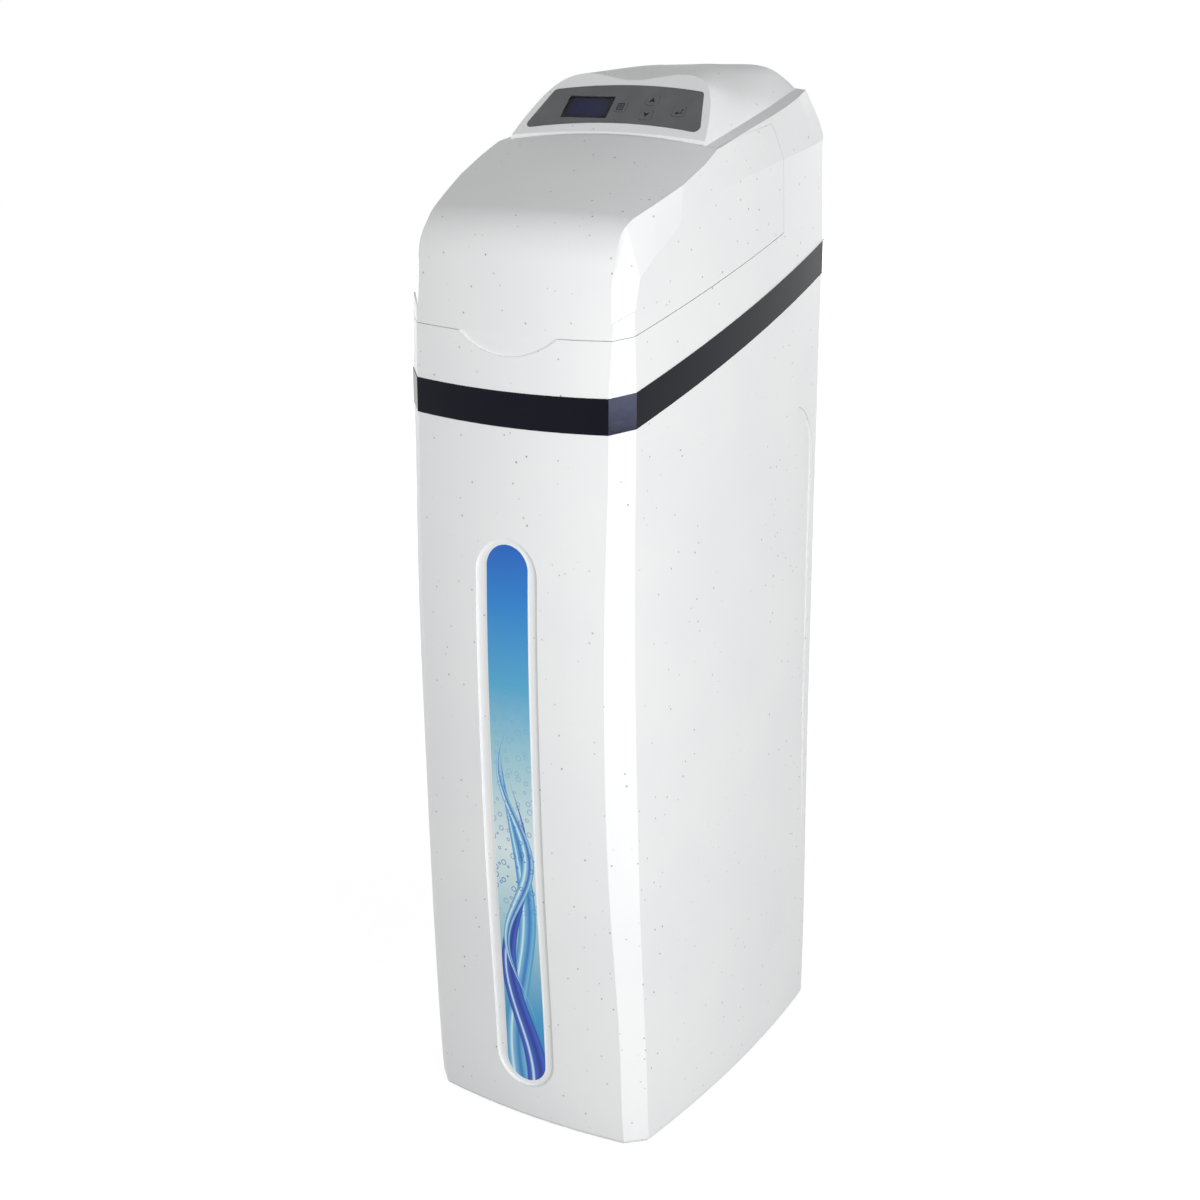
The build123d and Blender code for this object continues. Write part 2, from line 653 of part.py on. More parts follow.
# Cabinet shell, with its rim behind the band, the strip's recess and the side panels
def make_cabinet():
    outer = cabinet_solid(0.0)
    outer = fillet(outer.faces().sort_by(Axis.Z)[0].edges(), FOOT_EDGE_RADIUS)
    margin = RECESS_HALF_WIDTH - STRIP_HALF_WIDTH
    outer -= stadium(RECESS_HALF_WIDTH, STRIP_BOTTOM - margin / 2, STRIP_TOP + margin / 2) - cabinet_solid(
        RECESS_DEPTH)
    outer -= side_panel() - cabinet_solid(0.0, fade=True)
    cavity = cabinet_solid(CABINET_WALL, FLOOR_THICKNESS)
    backing = stadium(RECESS_HALF_WIDTH + CABINET_WALL, STRIP_BOTTOM - margin, STRIP_TOP + margin)
    cavity -= backing - cabinet_solid(CABINET_WALL + RECESS_DEPTH)
    cavity -= side_panel() - cabinet_solid(CABINET_WALL, fade=True)
    rim = rising_prism(RIM_STEP, -2 * BAND_HEIGHT, -SEAT_GAP)
    body = (outer - above(band_z)) + rim
    body -= cavity
    start = (OVERFLOW_X, REAR_Y - OVERRUN / 2, OVERFLOW_LEVEL)
    body -= tube(OVERFLOW_RADIUS + RUNNING_FIT, OVERRUN, start, (0, 1, 0))
    return body - cover_screw_holes()


def cover_screw_z():
    """Height of the cover's screws"""
    return band_top_z(REAR_Y) - COVER_SCREW_DROP


def cover_screw_holes():
    """Holes for the cover's screws, right through the rear wall"""
    start = (COVER_SCREW_X, REAR_Y - OVERRUN / 8, cover_screw_z())
    return both_sides(tube(COVER_SCREW_RADIUS + RUNNING_FIT, OVERRUN / 4, start, (0, 1, 0)))


# Trim band round the cabinet's rim
def make_trim_band():
    ring = rising_prism(-BAND_PROUD, -BAND_HEIGHT, 0.0) - rising_prism(
        RIM_STEP, -BAND_HEIGHT - SMALL_OVERRUN, SMALL_OVERRUN)
    return ring - cover_screw_holes()


# Decorative strip in the front recess
def make_decorative_strip():
    plate = cabinet_solid(RECESS_DEPTH - STRIP_THICKNESS) - cabinet_solid(RECESS_DEPTH)
    return plate & stadium(STRIP_HALF_WIDTH, STRIP_BOTTOM, STRIP_TOP)


# Salt lid
def lip_zone(grow, reach):
    """A strip along the salt lid's seams, clear of where the lid's rear edge swings round its pins"""
    strip = lid_region(grow) - lid_region(-reach)
    return strip - tube(LIP_SWEEP, 2 * DEPTH, (-DEPTH, HINGE_Y, HINGE_Z), (1, 0, 0))


def make_salt_lid():
    shell = (hood_base(0.0) - hood_base(HOOD_WALL, -HOOD_WALL)) & lid_region(0.0)
    start = CHEEK_X + HINGE_END_GAP
    lug = tube(HINGE_LUG_RADIUS, OVERRUN, (start, HINGE_Y, HINGE_Z), (1, 0, 0)) & hood_base(HOOD_WALL / 2)
    pin_start = (start - HINGE_PIN_RADIUS, HINGE_Y, HINGE_Z)
    lug -= tube(HINGE_PIN_RADIUS + RUNNING_FIT, HINGE_PIN_LENGTH, pin_start, (1, 0, 0))
    return shell + lug + mirror(lug, about=Plane.YZ)


def make_hinge_pins():
    start = CHEEK_X - CHEEK_THICKNESS
    head_start = (start - HINGE_HEAD_THICKNESS, HINGE_Y, HINGE_Z)
    pin = tube(HINGE_HEAD_RADIUS, HINGE_HEAD_THICKNESS, head_start, (1, 0, 0))
    pin += tube(HINGE_PIN_RADIUS, HINGE_PIN_LENGTH, (start - RUNNING_FIT, HINGE_Y, HINGE_Z), (1, 0, 0))
    return Compound([pin, mirror(pin, about=Plane.YZ)])


# Control panel pieces, drawn on the panel's plane with their depth along its normal
def fascia_outline(grow):
    """Outline of the fascia on the panel's plane"""
    bottom, top = FASCIA_BOTTOM - grow, FASCIA_HEIGHT + grow
    low_x, high_x = FASCIA_BOTTOM_X + grow, FASCIA_TOP_X + grow
    edges = [ThreePointArc((-low_x, bottom), (0, bottom + FASCIA_BOTTOM_BOW), (low_x, bottom)),
             Line((low_x, bottom), (high_x, top)),
             ThreePointArc((high_x, top), (0, top + FASCIA_TOP_BOW), (-high_x, top)),
             Line((-high_x, top), (-low_x, bottom))]
    face = make_face(edges)
    return fillet(face.vertices(), FASCIA_CORNER)


def on_panel(face, low, high):
    """Extrude an outline of the panel between two depths"""
    return extrude(PANEL.offset(low) * face, amount=high - low)


def window_outline(grow):
    """Outline of the display window"""
    return Pos(WINDOW_X, WINDOW_Y) * RectangleRounded(
        WINDOW_WIDTH + 2 * grow, WINDOW_HEIGHT + 2 * grow, WINDOW_CORNER + max(grow, 0))


def key_outline(place, grow):
    """Outline of one key"""
    return Pos(*place) * RectangleRounded(KEY_WIDTH + 2 * grow, KEY_HEIGHT + 2 * grow, KEY_CORNER)


def panel_openings(low, high):
    """What the keys pass through"""
    return [on_panel(key_outline(place, KEY_GAP), low, high) for place in zip(KEY_X, KEY_Y)]


def make_control_fascia():
    plate = on_panel(fascia_outline(0), -FASCIA_SEAT, FASCIA_PROUD)
    plate -= on_panel(window_outline(FASCIA_CLEARANCE), -OVERRUN, OVERRUN)
    for opening in panel_openings(-OVERRUN, OVERRUN):
        plate -= opening
    return plate


def make_display_window():
    return on_panel(window_outline(0), -WINDOW_THICKNESS, 0)


def make_display_module():
    front = -WINDOW_THICKNESS - RUNNING_FIT
    return on_panel(window_outline(MODULE_MARGIN), BOARD_FRONT + RUNNING_FIT, front)


def make_key(place):
    """One push key, held behind the cover by its flange"""
    body = on_panel(key_outline(place, 0), KEY_REAR, KEY_PROUD)
    body = fillet(body.faces().sort_by(Axis((0, 0, 0), (0, -1, 1)))[-1].edges(), KEY_PROUD / 2)
    return body + on_panel(key_outline(place, KEY_FLANGE), KEY_REAR, KEY_REAR + KEY_FLANGE_THICKNESS)


def post_places():
    """Places of the board's four posts on the panel's plane"""
    return [(x, y) for x in (BOARD_LEFT + POST_INSET, BOARD_RIGHT - POST_INSET)
            for y in (BOARD_BOTTOM + POST_INSET, BOARD_TOP - POST_INSET)]


def make_display_board():
    width, height = BOARD_RIGHT - BOARD_LEFT, BOARD_TOP - BOARD_BOTTOM
    sheet = Pos((BOARD_LEFT + BOARD_RIGHT) / 2, (BOARD_BOTTOM + BOARD_TOP) / 2) * Rectangle(width, height)
    board = on_panel(sheet, BOARD_FRONT - BOARD_THICKNESS, BOARD_FRONT)
    for place in zip(KEY_X, KEY_Y):
        switch = Pos(*place) * Rectangle(SWITCH_SIZE, SWITCH_SIZE)
        board += on_panel(switch, BOARD_FRONT, BOARD_FRONT + SWITCH_HEIGHT)
    for place in post_places():
        board -= on_panel(Pos(*place) * Circle(BOARD_SCREW_RADIUS + RUNNING_FIT), -OVERRUN, OVERRUN)
    return board


def make_board_screws():
    rear = BOARD_FRONT - BOARD_THICKNESS
    screws = []
    for place in post_places():
        screw = on_panel(Pos(*place) * Circle(BOARD_SCREW_RADIUS), rear, rear + BOARD_SCREW_LENGTH)
        screw += on_panel(Pos(*place) * Circle(BOARD_SCREW_HEAD), rear - BOARD_SCREW_HEAD_HEIGHT, rear)
        screws.append(screw)
    return Compound(screws)


# Top cover: the hood behind the salt lid, with its lip, cheeks, skirt and panel seat
def scoop_prism(grow):
    """Outline of the finger scoop under the lid's front seam, as a prism through the front"""
    top = seam_z(CORNER_Y) + SMALL_OVERRUN
    half = SCOOP_HALF_WIDTH + grow
    arc = ThreePointArc((-half, 0, top), (0, 0, top - SCOOP_HEIGHT - grow), (half, 0, top))
    return extrude(make_face([Line((half, 0, top), (-half, 0, top)), arc]), amount=DEPTH, dir=(0, -1, 0))


def cover_lip():
    """The lip under the salt lid's seams, and the backing behind the finger scoop"""
    thick = hood_base(HOOD_WALL / 2) - hood_base(LIP_INNER, -HOOD_WALL)
    tread = thick & lip_zone(LIP_HEIGHT, -SEAM_GAP)
    upstand = hood_base(LIP_INSET) - hood_base(LIP_INNER, -HOOD_WALL)
    upstand &= lip_zone(SEAM_GAP + SMALL_OVERRUN, LIP_HEIGHT)
    backing = thick & (scoop_prism(HOOD_WALL) - lid_region(SEAM_GAP))
    return [tread, upstand, backing]


def cover_skirt():
    """The skirt that drops inside the cabinet's rim"""
    skirt = rising_prism(SKIRT_INSET, -SKIRT_REACH, HOOD_WALL) + rising_prism(HOOD_WALL / 2, 0, HOOD_WALL)
    return skirt - rising_prism(SKIRT_INSET + SKIRT_THICKNESS, -SKIRT_REACH - HOOD_WALL, 2 * HOOD_WALL)


def cover_walls(inside):
    """The partition behind the salt room, and the cheeks that carry the lid's pins"""
    inner_x = CHEEK_X - CHEEK_THICKNESS
    low, high = BAND_LEVEL, 2 * BAND_LEVEL
    rear = LID_REAR_Y + 2 * SEAM_GAP
    cheek = block(inner_x, CHEEK_X, PARTITION_Y, rear + CHEEK_THICKNESS, low, high)
    cheek += block(inner_x, DEPTH, rear, rear + CHEEK_THICKNESS, low, high)
    partition = block(-CHEEK_X, CHEEK_X, PARTITION_Y, PARTITION_Y + CHEEK_THICKNESS, low, high)
    return (partition + both_sides(cheek)) & above(band_top_z, CHEEK_LIFT) & inside


def cover_cuts():
    """Everything that is cut through the finished cover"""
    hole = Circle(BOARD_SCREW_RADIUS + RUNNING_FIT)
    cuts = [on_panel(Pos(*place) * hole, BOARD_FRONT - SMALL_OVERRUN, -PAD_DEPTH) for place in post_places()]
    cuts.append(on_panel(fascia_outline(FASCIA_CLEARANCE), -FASCIA_SEAT, OVERRUN / 4))
    cuts.append(on_panel(window_outline(MODULE_MARGIN + FASCIA_CLEARANCE), -2 * PAD_DEPTH, OVERRUN / 4))
    cuts += panel_openings(-2 * PAD_DEPTH, OVERRUN / 4)
    cuts.append(tube(HINGE_PIN_RADIUS + RUNNING_FIT, 2 * CHEEK_X + 2 * SMALL_OVERRUN,
                     (-CHEEK_X - SMALL_OVERRUN, HINGE_Y, HINGE_Z), (1, 0, 0)))
    lug_pocket = tube(HINGE_LUG_RADIUS + SEAM_GAP, OVERRUN, (CHEEK_X, HINGE_Y, HINGE_Z), (1, 0, 0))
    cuts.append(both_sides(lug_pocket))
    middle = (PORT_OPENING_BOTTOM + PORT_OPENING_TOP) / 2
    opening = Plane.XZ * Pos(0, middle) * RectangleRounded(
        2 * PORT_OPENING_HALF_WIDTH, PORT_OPENING_TOP - PORT_OPENING_BOTTOM, PORT_OPENING_CORNER)
    cuts.append(Pos(0, REAR_Y, 0) * extrude(opening, amount=4 * HOOD_WALL, both=True))
    cuts.append(cover_screw_holes())
    cuts.append(scoop_prism(0) - hood_base(SCOOP_DEPTH))
    return cuts


def make_top_cover():
    outer = hood_base(0.0) + hump(0.0)
    inner = hood_base(HOOD_WALL, -HOOD_WALL) + hump(HOOD_WALL)
    shell = outer - inner - lid_region(SEAM_GAP)
    inside = hood_base(HOOD_WALL / 2) + hump(HOOD_WALL / 2)
    pad = on_panel(fascia_outline(PAD_MARGIN), -PAD_DEPTH, -HOOD_WALL / 2) & inside
    posts = [on_panel(Pos(*place) * Circle(POST_RADIUS), BOARD_FRONT, -HOOD_WALL) for place in post_places()]
    cover = shell + [*cover_lip(), cover_skirt(), cover_walls(inside), pad, *posts]
    return cover - cover_cuts()


def make_cover_screws():
    face_y = REAR_Y + BAND_PROUD
    start_y = REAR_Y - SKIRT_INSET - SKIRT_THICKNESS - SMALL_OVERRUN
    z = cover_screw_z()
    screw = tube(COVER_SCREW_RADIUS, face_y - start_y, (COVER_SCREW_X, start_y, z), (0, 1, 0))
    screw += tube(COVER_SCREW_HEAD, COVER_SCREW_HEAD_HEIGHT, (COVER_SCREW_X, face_y, z), (0, 1, 0))
    return Compound([screw, mirror(screw, about=Plane.YZ)])


# Resin vessel and what it holds
def vessel_form(inset):
    """The vessel's bottle shape without its neck, set in by an amount"""
    radius, dome, knuckle = VESSEL_RADIUS - inset, VESSEL_DOME - inset, VESSEL_KNUCKLE - inset
    crown = vessel_crown(inset)
    turn = degrees(atan((crown - dome) / (radius - knuckle)))
    low = VESSEL_BASE + VESSEL_DOME
    high = VESSEL_TOP - NECK_LENGTH / 2 - VESSEL_DOME
    edges = [Line((0, low - dome), (0, high + dome)),
             CenterArc((0, high + dome - crown), crown, turn, 90 - turn),
             CenterArc((radius - knuckle, high), knuckle, 0, turn),
             Line((radius, high), (radius, low)),
             CenterArc((radius - knuckle, low), knuckle, -turn, turn),
             CenterArc((0, low - dome + crown), crown, -90, 90 - turn)]
    return Pos(0, VESSEL_Y, 0) * revolve(Plane.XZ * make_face(edges), Axis.Z)


def make_resin_vessel():
    neck_foot = VESSEL_TOP - NECK_LENGTH
    vessel = vessel_form(0.0) + tube(NECK_RADIUS, NECK_LENGTH, (0, VESSEL_Y, neck_foot))
    vessel -= vessel_form(VESSEL_WALL)
    return vessel - tube(NECK_BORE, NECK_LENGTH + SMALL_OVERRUN, (0, VESSEL_Y, neck_foot))


def make_vessel_foot():
    foot = tube(BOOT_RADIUS, BOOT_HEIGHT, (0, VESSEL_Y, FLOOR_THICKNESS))
    foot -= vessel_form(-SEAT_GAP)
    start = (0, VESSEL_Y, FLOOR_THICKNESS - SMALL_OVERRUN / 2)
    return foot - tube(BOOT_OPENING, BOOT_HEIGHT + SMALL_OVERRUN, start)


def make_riser_tube():
    foot = STRAINER_FOOT + STRAINER_HEIGHT / 2
    height = FLANGE_TOP - foot
    riser = tube(RISER_RADIUS, height, (0, VESSEL_Y, foot))
    return riser - tube(RISER_RADIUS - RISER_WALL, height, (0, VESSEL_Y, foot))


def make_lower_strainer():
    body = tube(STRAINER_RADIUS, STRAINER_HEIGHT, (0, VESSEL_Y, STRAINER_FOOT))
    body = fillet(body.edges().filter_by(GeomType.CIRCLE), STRAINER_WALL)
    inner = STRAINER_RADIUS - STRAINER_WALL
    body -= tube(inner, STRAINER_HEIGHT / 2 - STRAINER_WALL, (0, VESSEL_Y, STRAINER_FOOT + STRAINER_WALL))
    riser_foot = (0, VESSEL_Y, STRAINER_FOOT + STRAINER_HEIGHT / 2)
    body -= tube(RISER_RADIUS + RUNNING_FIT, STRAINER_HEIGHT, riser_foot)
    body -= tube(RISER_RADIUS - RISER_WALL, STRAINER_HEIGHT / 2, (0, VESSEL_Y, STRAINER_FOOT + STRAINER_WALL))
    slot = block(RISER_RADIUS + STRAINER_WALL, STRAINER_RADIUS + STRAINER_WALL, -STRAINER_SLOT / 2,
                 STRAINER_SLOT / 2, 2 * STRAINER_WALL, STRAINER_HEIGHT / 2 - 2 * STRAINER_WALL)
    for rib in range(STRAINER_RIBS):
        body -= Pos(0, VESSEL_Y, STRAINER_FOOT) * Rot(0, 0, rib * 360 / STRAINER_RIBS) * slot
    return body


def make_upper_strainer():
    low = VESSEL_TOP - UPPER_STRAINER_HEIGHT
    body = tube(UPPER_STRAINER_RADIUS, UPPER_STRAINER_HEIGHT, (0, VESSEL_Y, low))
    body -= tube(RISER_RADIUS + RUNNING_FIT, 2 * UPPER_STRAINER_HEIGHT, (0, VESSEL_Y, low - SMALL_OVERRUN))
    inner = UPPER_STRAINER_RADIUS - STRAINER_WALL
    gap = tube(inner, UPPER_STRAINER_HEIGHT - STRAINER_WALL, (0, VESSEL_Y, low + STRAINER_WALL))
    gap -= tube(RISER_RADIUS + STRAINER_WALL, UPPER_STRAINER_HEIGHT, (0, VESSEL_Y, low))
    body -= gap
    slot = block(inner - STRAINER_WALL, UPPER_STRAINER_RADIUS + STRAINER_WALL, -STRAINER_SLOT / 2,
                 STRAINER_SLOT / 2, 2 * STRAINER_WALL, UPPER_STRAINER_HEIGHT - 2 * STRAINER_WALL)
    for rib in range(STRAINER_RIBS):
        body -= Pos(0, VESSEL_Y, low) * Rot(0, 0, rib * 360 / STRAINER_RIBS) * slot
    return body


def make_resin_bed():
    bed = vessel_form(VESSEL_WALL + SEAT_GAP) - block(-DEPTH, DEPTH, -DEPTH, DEPTH, RESIN_LEVEL, 2 * DEPTH)
    bed -= tube(RISER_RADIUS + SEAT_GAP, RESIN_LEVEL, (0, VESSEL_Y, STRAINER_FOOT))
    strainer_top = STRAINER_FOOT + STRAINER_HEIGHT + SEAT_GAP
    return bed - tube(STRAINER_RADIUS + SEAT_GAP, OVERRUN, (0, VESSEL_Y, strainer_top - OVERRUN))


# Control valve
def make_valve_body():
    base = VESSEL_TOP + SEAT_GAP
    body = tube(VALVE_FLANGE_RADIUS, VALVE_FLANGE_HEIGHT, (0, VESSEL_Y, base))
    outline = Pos(0, VESSEL_Y, FLANGE_TOP) * RectangleRounded(VALVE_WIDTH, VALVE_DEPTH, VALVE_CORNER)
    body += extrude(outline, amount=VALVE_HEIGHT)
    body += tube(CHAMBER_RADIUS, CHAMBER_HEIGHT, (0, VESSEL_Y, BLOCK_TOP))
    reach = VALVE_DEPTH / 2 + PORT_REACH
    port = tube(PORT_RADIUS, reach, (PORT_X, VESSEL_Y, PORT_Z), (0, 1, 0))
    port_bore = tube(PORT_BORE, reach + SMALL_OVERRUN, (PORT_X, VESSEL_Y, PORT_Z), (0, 1, 0))
    spigot_start = (PORT_X, VESSEL_Y + VALVE_DEPTH / 2 + SMALL_OVERRUN, PORT_Z)
    spigot_hole = tube(PORT_BORE + SPIGOT_WALL + RUNNING_FIT, PORT_REACH, spigot_start, (0, 1, 0))
    body += both_sides(port)
    for x, y in pillar_places():
        body += tube(BRACKET_POST_RADIUS, CHAMBER_HEIGHT, (x, y, BLOCK_TOP))
        body -= tube(BRACKET_SCREW_RADIUS + RUNNING_FIT, CHAMBER_HEIGHT + SMALL_OVERRUN, (x, y, BLOCK_TOP))
    body -= both_sides(port_bore)
    body -= both_sides(spigot_hole)
    body -= tube(RISER_RADIUS + RUNNING_FIT, VALVE_FLANGE_HEIGHT + 2 * SMALL_OVERRUN,
                 (0, VESSEL_Y, base - SMALL_OVERRUN))
    body -= tube(PORT_BORE, BLOCK_TOP - base - CHAMBER_DEPTH, (0, VESSEL_Y, base))
    body -= tube(CHAMBER_BORE, CHAMBER_DEPTH, (0, VESSEL_Y, CHAMBER_TOP - CHAMBER_DEPTH))
    body -= tube(DRAIN_BORE + RUNNING_FIT, VALVE_WIDTH, (VALVE_WIDTH / 4, DRAIN_Y, PORT_Z), (1, 0, 0))
    line_start = (-VALVE_WIDTH * 5 / 4, VALVE_ELBOW_Y, VALVE_ELBOW_Z)
    return body - tube(LINE_BORE, VALVE_WIDTH, line_start, (1, 0, 0))


def make_valve_disc():
    foot = CHAMBER_TOP - CHAMBER_DEPTH + RUNNING_FIT
    disc = tube(DISC_RADIUS, DISC_THICKNESS, (0, VESSEL_Y, foot))
    disc += tube(STEM_RADIUS, GEAR_Z + GEAR_THICKNESS + BRACKET_GAP / 2 - foot, (0, VESSEL_Y, foot))
    flat = STEM_RADIUS / 2
    disc -= block(flat, DISC_RADIUS, VESSEL_Y - DISC_RADIUS, VESSEL_Y + DISC_RADIUS, GEAR_Z, 2 * GEAR_Z)
    return disc


def involute(base, angle):
    """A point on an involute, as its distance from the axis and its turn"""
    return base * hypot(1, angle), angle - atan(angle)


def gear_face(teeth):
    """Outline of a spur gear's teeth, centred on the axis, with a tooth on +X"""
    pitch = GEAR_MODULE * teeth / 2
    base = pitch * cos(radians(PRESSURE_ANGLE))
    tip, root = pitch + GEAR_MODULE, pitch - 5 / 4 * GEAR_MODULE
    pitch_roll = tan(radians(PRESSURE_ANGLE))
    half = pi / (2 * teeth) - GEAR_BACKLASH / (2 * pitch) + involute(base, pitch_roll)[1]
    tip_roll = sqrt((tip / base) ** 2 - 1)
    first_roll = sqrt(max((root / base) ** 2 - 1, 0))
    flank = []
    for step in range(FLANK_STEPS + 1):
        roll = first_roll + (tip_roll - first_roll) * step / FLANK_STEPS
        flank.append(involute(base, roll))
    points = []
    for tooth in range(teeth):
        middle = 2 * pi * tooth / teeth
        rising = [(root, half - flank[0][1])] + [(distance, half - turn) for distance, turn in flank]
        for distance, turn in rising:
            points.append((distance * cos(middle - turn), distance * sin(middle - turn)))
        for distance, turn in reversed(rising):
            points.append((distance * cos(middle + turn), distance * sin(middle + turn)))
    return make_face(Wire.make_polygon([point for point in dict.fromkeys(points)], close=True))


def make_main_gear():
    gear = extrude(gear_face(GEAR_TEETH), amount=GEAR_THICKNESS)
    rim = GEAR_MODULE * GEAR_TEETH / 2 - GEAR_RIM
    hub = 2 * STEM_RADIUS
    recess = tube(rim, GEAR_THICKNESS, (0, 0, GEAR_WEB)) - tube(hub, GEAR_THICKNESS, (0, 0, GEAR_WEB))
    gear -= recess
    hole_radius = (rim - hub) / 3
    for hole in range(SPOKE_HOLES):
        opening = tube(hole_radius, GEAR_THICKNESS, ((rim + hub) / 2, 0, -GEAR_LIFT))
        gear -= Rot(0, 0, hole * 360 / SPOKE_HOLES) * opening
    bore = tube(STEM_RADIUS + RUNNING_FIT, 2 * GEAR_THICKNESS, (0, 0, -GEAR_LIFT))
    bore -= block(STEM_RADIUS / 2 + RUNNING_FIT, DISC_RADIUS, -DISC_RADIUS, DISC_RADIUS,
                  -GEAR_LIFT, 2 * GEAR_THICKNESS)
    return Pos(0, VESSEL_Y, GEAR_Z) * Rot(0, 0, 90) * (gear - Rot(0, 0, -90) * bore)


def make_drive_pinion():
    pinion = Rot(0, 0, 180 / PINION_TEETH - 90) * extrude(gear_face(PINION_TEETH), amount=GEAR_THICKNESS)
    top = BRACKET_Z - GEAR_Z + BRACKET_THICKNESS
    pinion += tube(SHAFT_RADIUS, top, (0, 0, 0))
    return Pos(0, PINION_Y, GEAR_Z) * pinion


def gear_plan(z, thickness):
    """A plate over the valve that reaches back under or over the pinion"""
    half = PLATE_HALF_WIDTH
    rear = PINION_Y + MOTOR_RADIUS + PLATE_MARGIN
    front = VESSEL_Y - half
    outline = Pos(0, (front + rear) / 2, z) * RectangleRounded(2 * half, rear - front, VALVE_CORNER)
    return extrude(outline, amount=thickness)


def pillar_places():
    """Places of the four pillars that carry the gear plate and the motor bracket"""
    return [(x, VESSEL_Y + y) for x in (-PILLAR_X, PILLAR_X) for y in (-PILLAR_X, PILLAR_X)]


def make_gear_plate():
    plate = gear_plan(CHAMBER_TOP, PLATE_THICKNESS)
    start = CHAMBER_TOP - PLATE_THICKNESS / 2
    plate -= tube(STEM_RADIUS + RUNNING_FIT, 2 * PLATE_THICKNESS, (0, VESSEL_Y, start))
    for x in (-PLATE_HALF_WIDTH + BRACKET_POST_RADIUS, PLATE_HALF_WIDTH - BRACKET_POST_RADIUS):
        place = (x, PINION_Y + MOTOR_RADIUS - BRACKET_POST_RADIUS, PLATE_TOP)
        plate += tube(BRACKET_POST_RADIUS, BRACKET_Z - PLATE_TOP, place)
    for x, y in pillar_places():
        plate -= tube(BRACKET_SCREW_RADIUS + RUNNING_FIT, 2 * PLATE_THICKNESS, (x, y, start))
    return plate


def make_bracket_screws():
    screws = []
    for x, y in pillar_places():
        screw = tube(BRACKET_SCREW_RADIUS, CHAMBER_HEIGHT, (x, y, PLATE_TOP - CHAMBER_HEIGHT))
        screws.append(screw)
    return Compound(screws)


def make_motor_bracket():
    rear = PINION_Y + MOTOR_RADIUS
    outline = Pos(0, (PINION_Y - MOTOR_RADIUS + rear) / 2, BRACKET_Z) * RectangleRounded(
        2 * PLATE_HALF_WIDTH, rear - PINION_Y + MOTOR_RADIUS, BRACKET_POST_RADIUS)
    plate = extrude(outline, amount=BRACKET_THICKNESS)
    start = (0, PINION_Y, BRACKET_Z - SMALL_OVERRUN)
    return plate - tube(SHAFT_RADIUS + RUNNING_FIT, 2 * BRACKET_THICKNESS, start)


def make_drive_motor():
    foot = BRACKET_Z + BRACKET_THICKNESS
    motor = tube(MOTOR_RADIUS, MOTOR_HEIGHT, (0, PINION_Y, foot))
    motor = fillet(motor.edges().filter_by(GeomType.CIRCLE).sort_by(Axis.Z)[-1], SHAFT_RADIUS)
    return motor - tube(SHAFT_RADIUS + RUNNING_FIT, SHAFT_RADIUS, (0, PINION_Y, foot))


def make_adapter(side):
    """A threaded adapter pushed into one of the valve's rear ports"""
    x = side * PORT_X
    seat = VESSEL_Y + VALVE_DEPTH / 2 + PORT_REACH + RUNNING_FIT
    spigot_start = VESSEL_Y + VALVE_DEPTH / 2 + SMALL_OVERRUN + SEAT_GAP
    body = tube(PORT_BORE + SPIGOT_WALL, seat - spigot_start, (x, spigot_start, PORT_Z), (0, 1, 0))
    body += tube(THREAD_RADIUS, ADAPTER_END_Y - seat, (x, seat, PORT_Z), (0, 1, 0))
    body += hexagon_bar(ADAPTER_NUT, ADAPTER_NUT_LENGTH, (x, seat, PORT_Z), (0, 1, 0))
    return body - tube(PORT_BORE, OVERRUN, (x, spigot_start - SMALL_OVERRUN, PORT_Z), (0, 1, 0))


def make_outlet_adapter():
    """The outlet adapter, with the spider that carries the turbine's pin"""
    body = make_adapter(-1)
    for y in (TURBINE_Y - SPIDER_THICKNESS - SEAT_GAP, TURBINE_Y + TURBINE_LENGTH + SEAT_GAP):
        bar = block(-PORT_BORE - SEAT_GAP, PORT_BORE + SEAT_GAP, y, y + SPIDER_THICKNESS,
                    -TURBINE_HUB / 2, TURBINE_HUB / 2)
        bar += Rot(0, 90, 0) * bar
        body += Pos(-PORT_X, 0, PORT_Z) * bar
    pin_start = (-PORT_X, TURBINE_Y - SPIDER_THICKNESS, PORT_Z)
    return body + tube(TURBINE_PIN, TURBINE_LENGTH + 2 * SPIDER_THICKNESS, pin_start, (0, 1, 0))


def make_flow_turbine():
    turbine = tube(TURBINE_HUB, TURBINE_LENGTH, (0, 0, 0), (0, 1, 0))
    blade = block(0, TURBINE_RADIUS, 0, TURBINE_LENGTH, -TURBINE_BLADE / 2, TURBINE_BLADE / 2)
    blade = Pos(0, TURBINE_LENGTH / 2, 0) * Rot(BLADE_TWIST, 0, 0) * Pos(0, -TURBINE_LENGTH / 2, 0) * blade
    blade &= tube(TURBINE_RADIUS, TURBINE_LENGTH, (0, 0, 0), (0, 1, 0))
    for number in range(TURBINE_BLADES):
        turbine += Rot(0, number * 360 / TURBINE_BLADES, 0) * blade
    turbine -= tube(TURBINE_PIN + RUNNING_FIT, 2 * TURBINE_LENGTH, (0, -SMALL_OVERRUN, 0), (0, 1, 0))
    return Pos(-PORT_X, TURBINE_Y, PORT_Z) * turbine


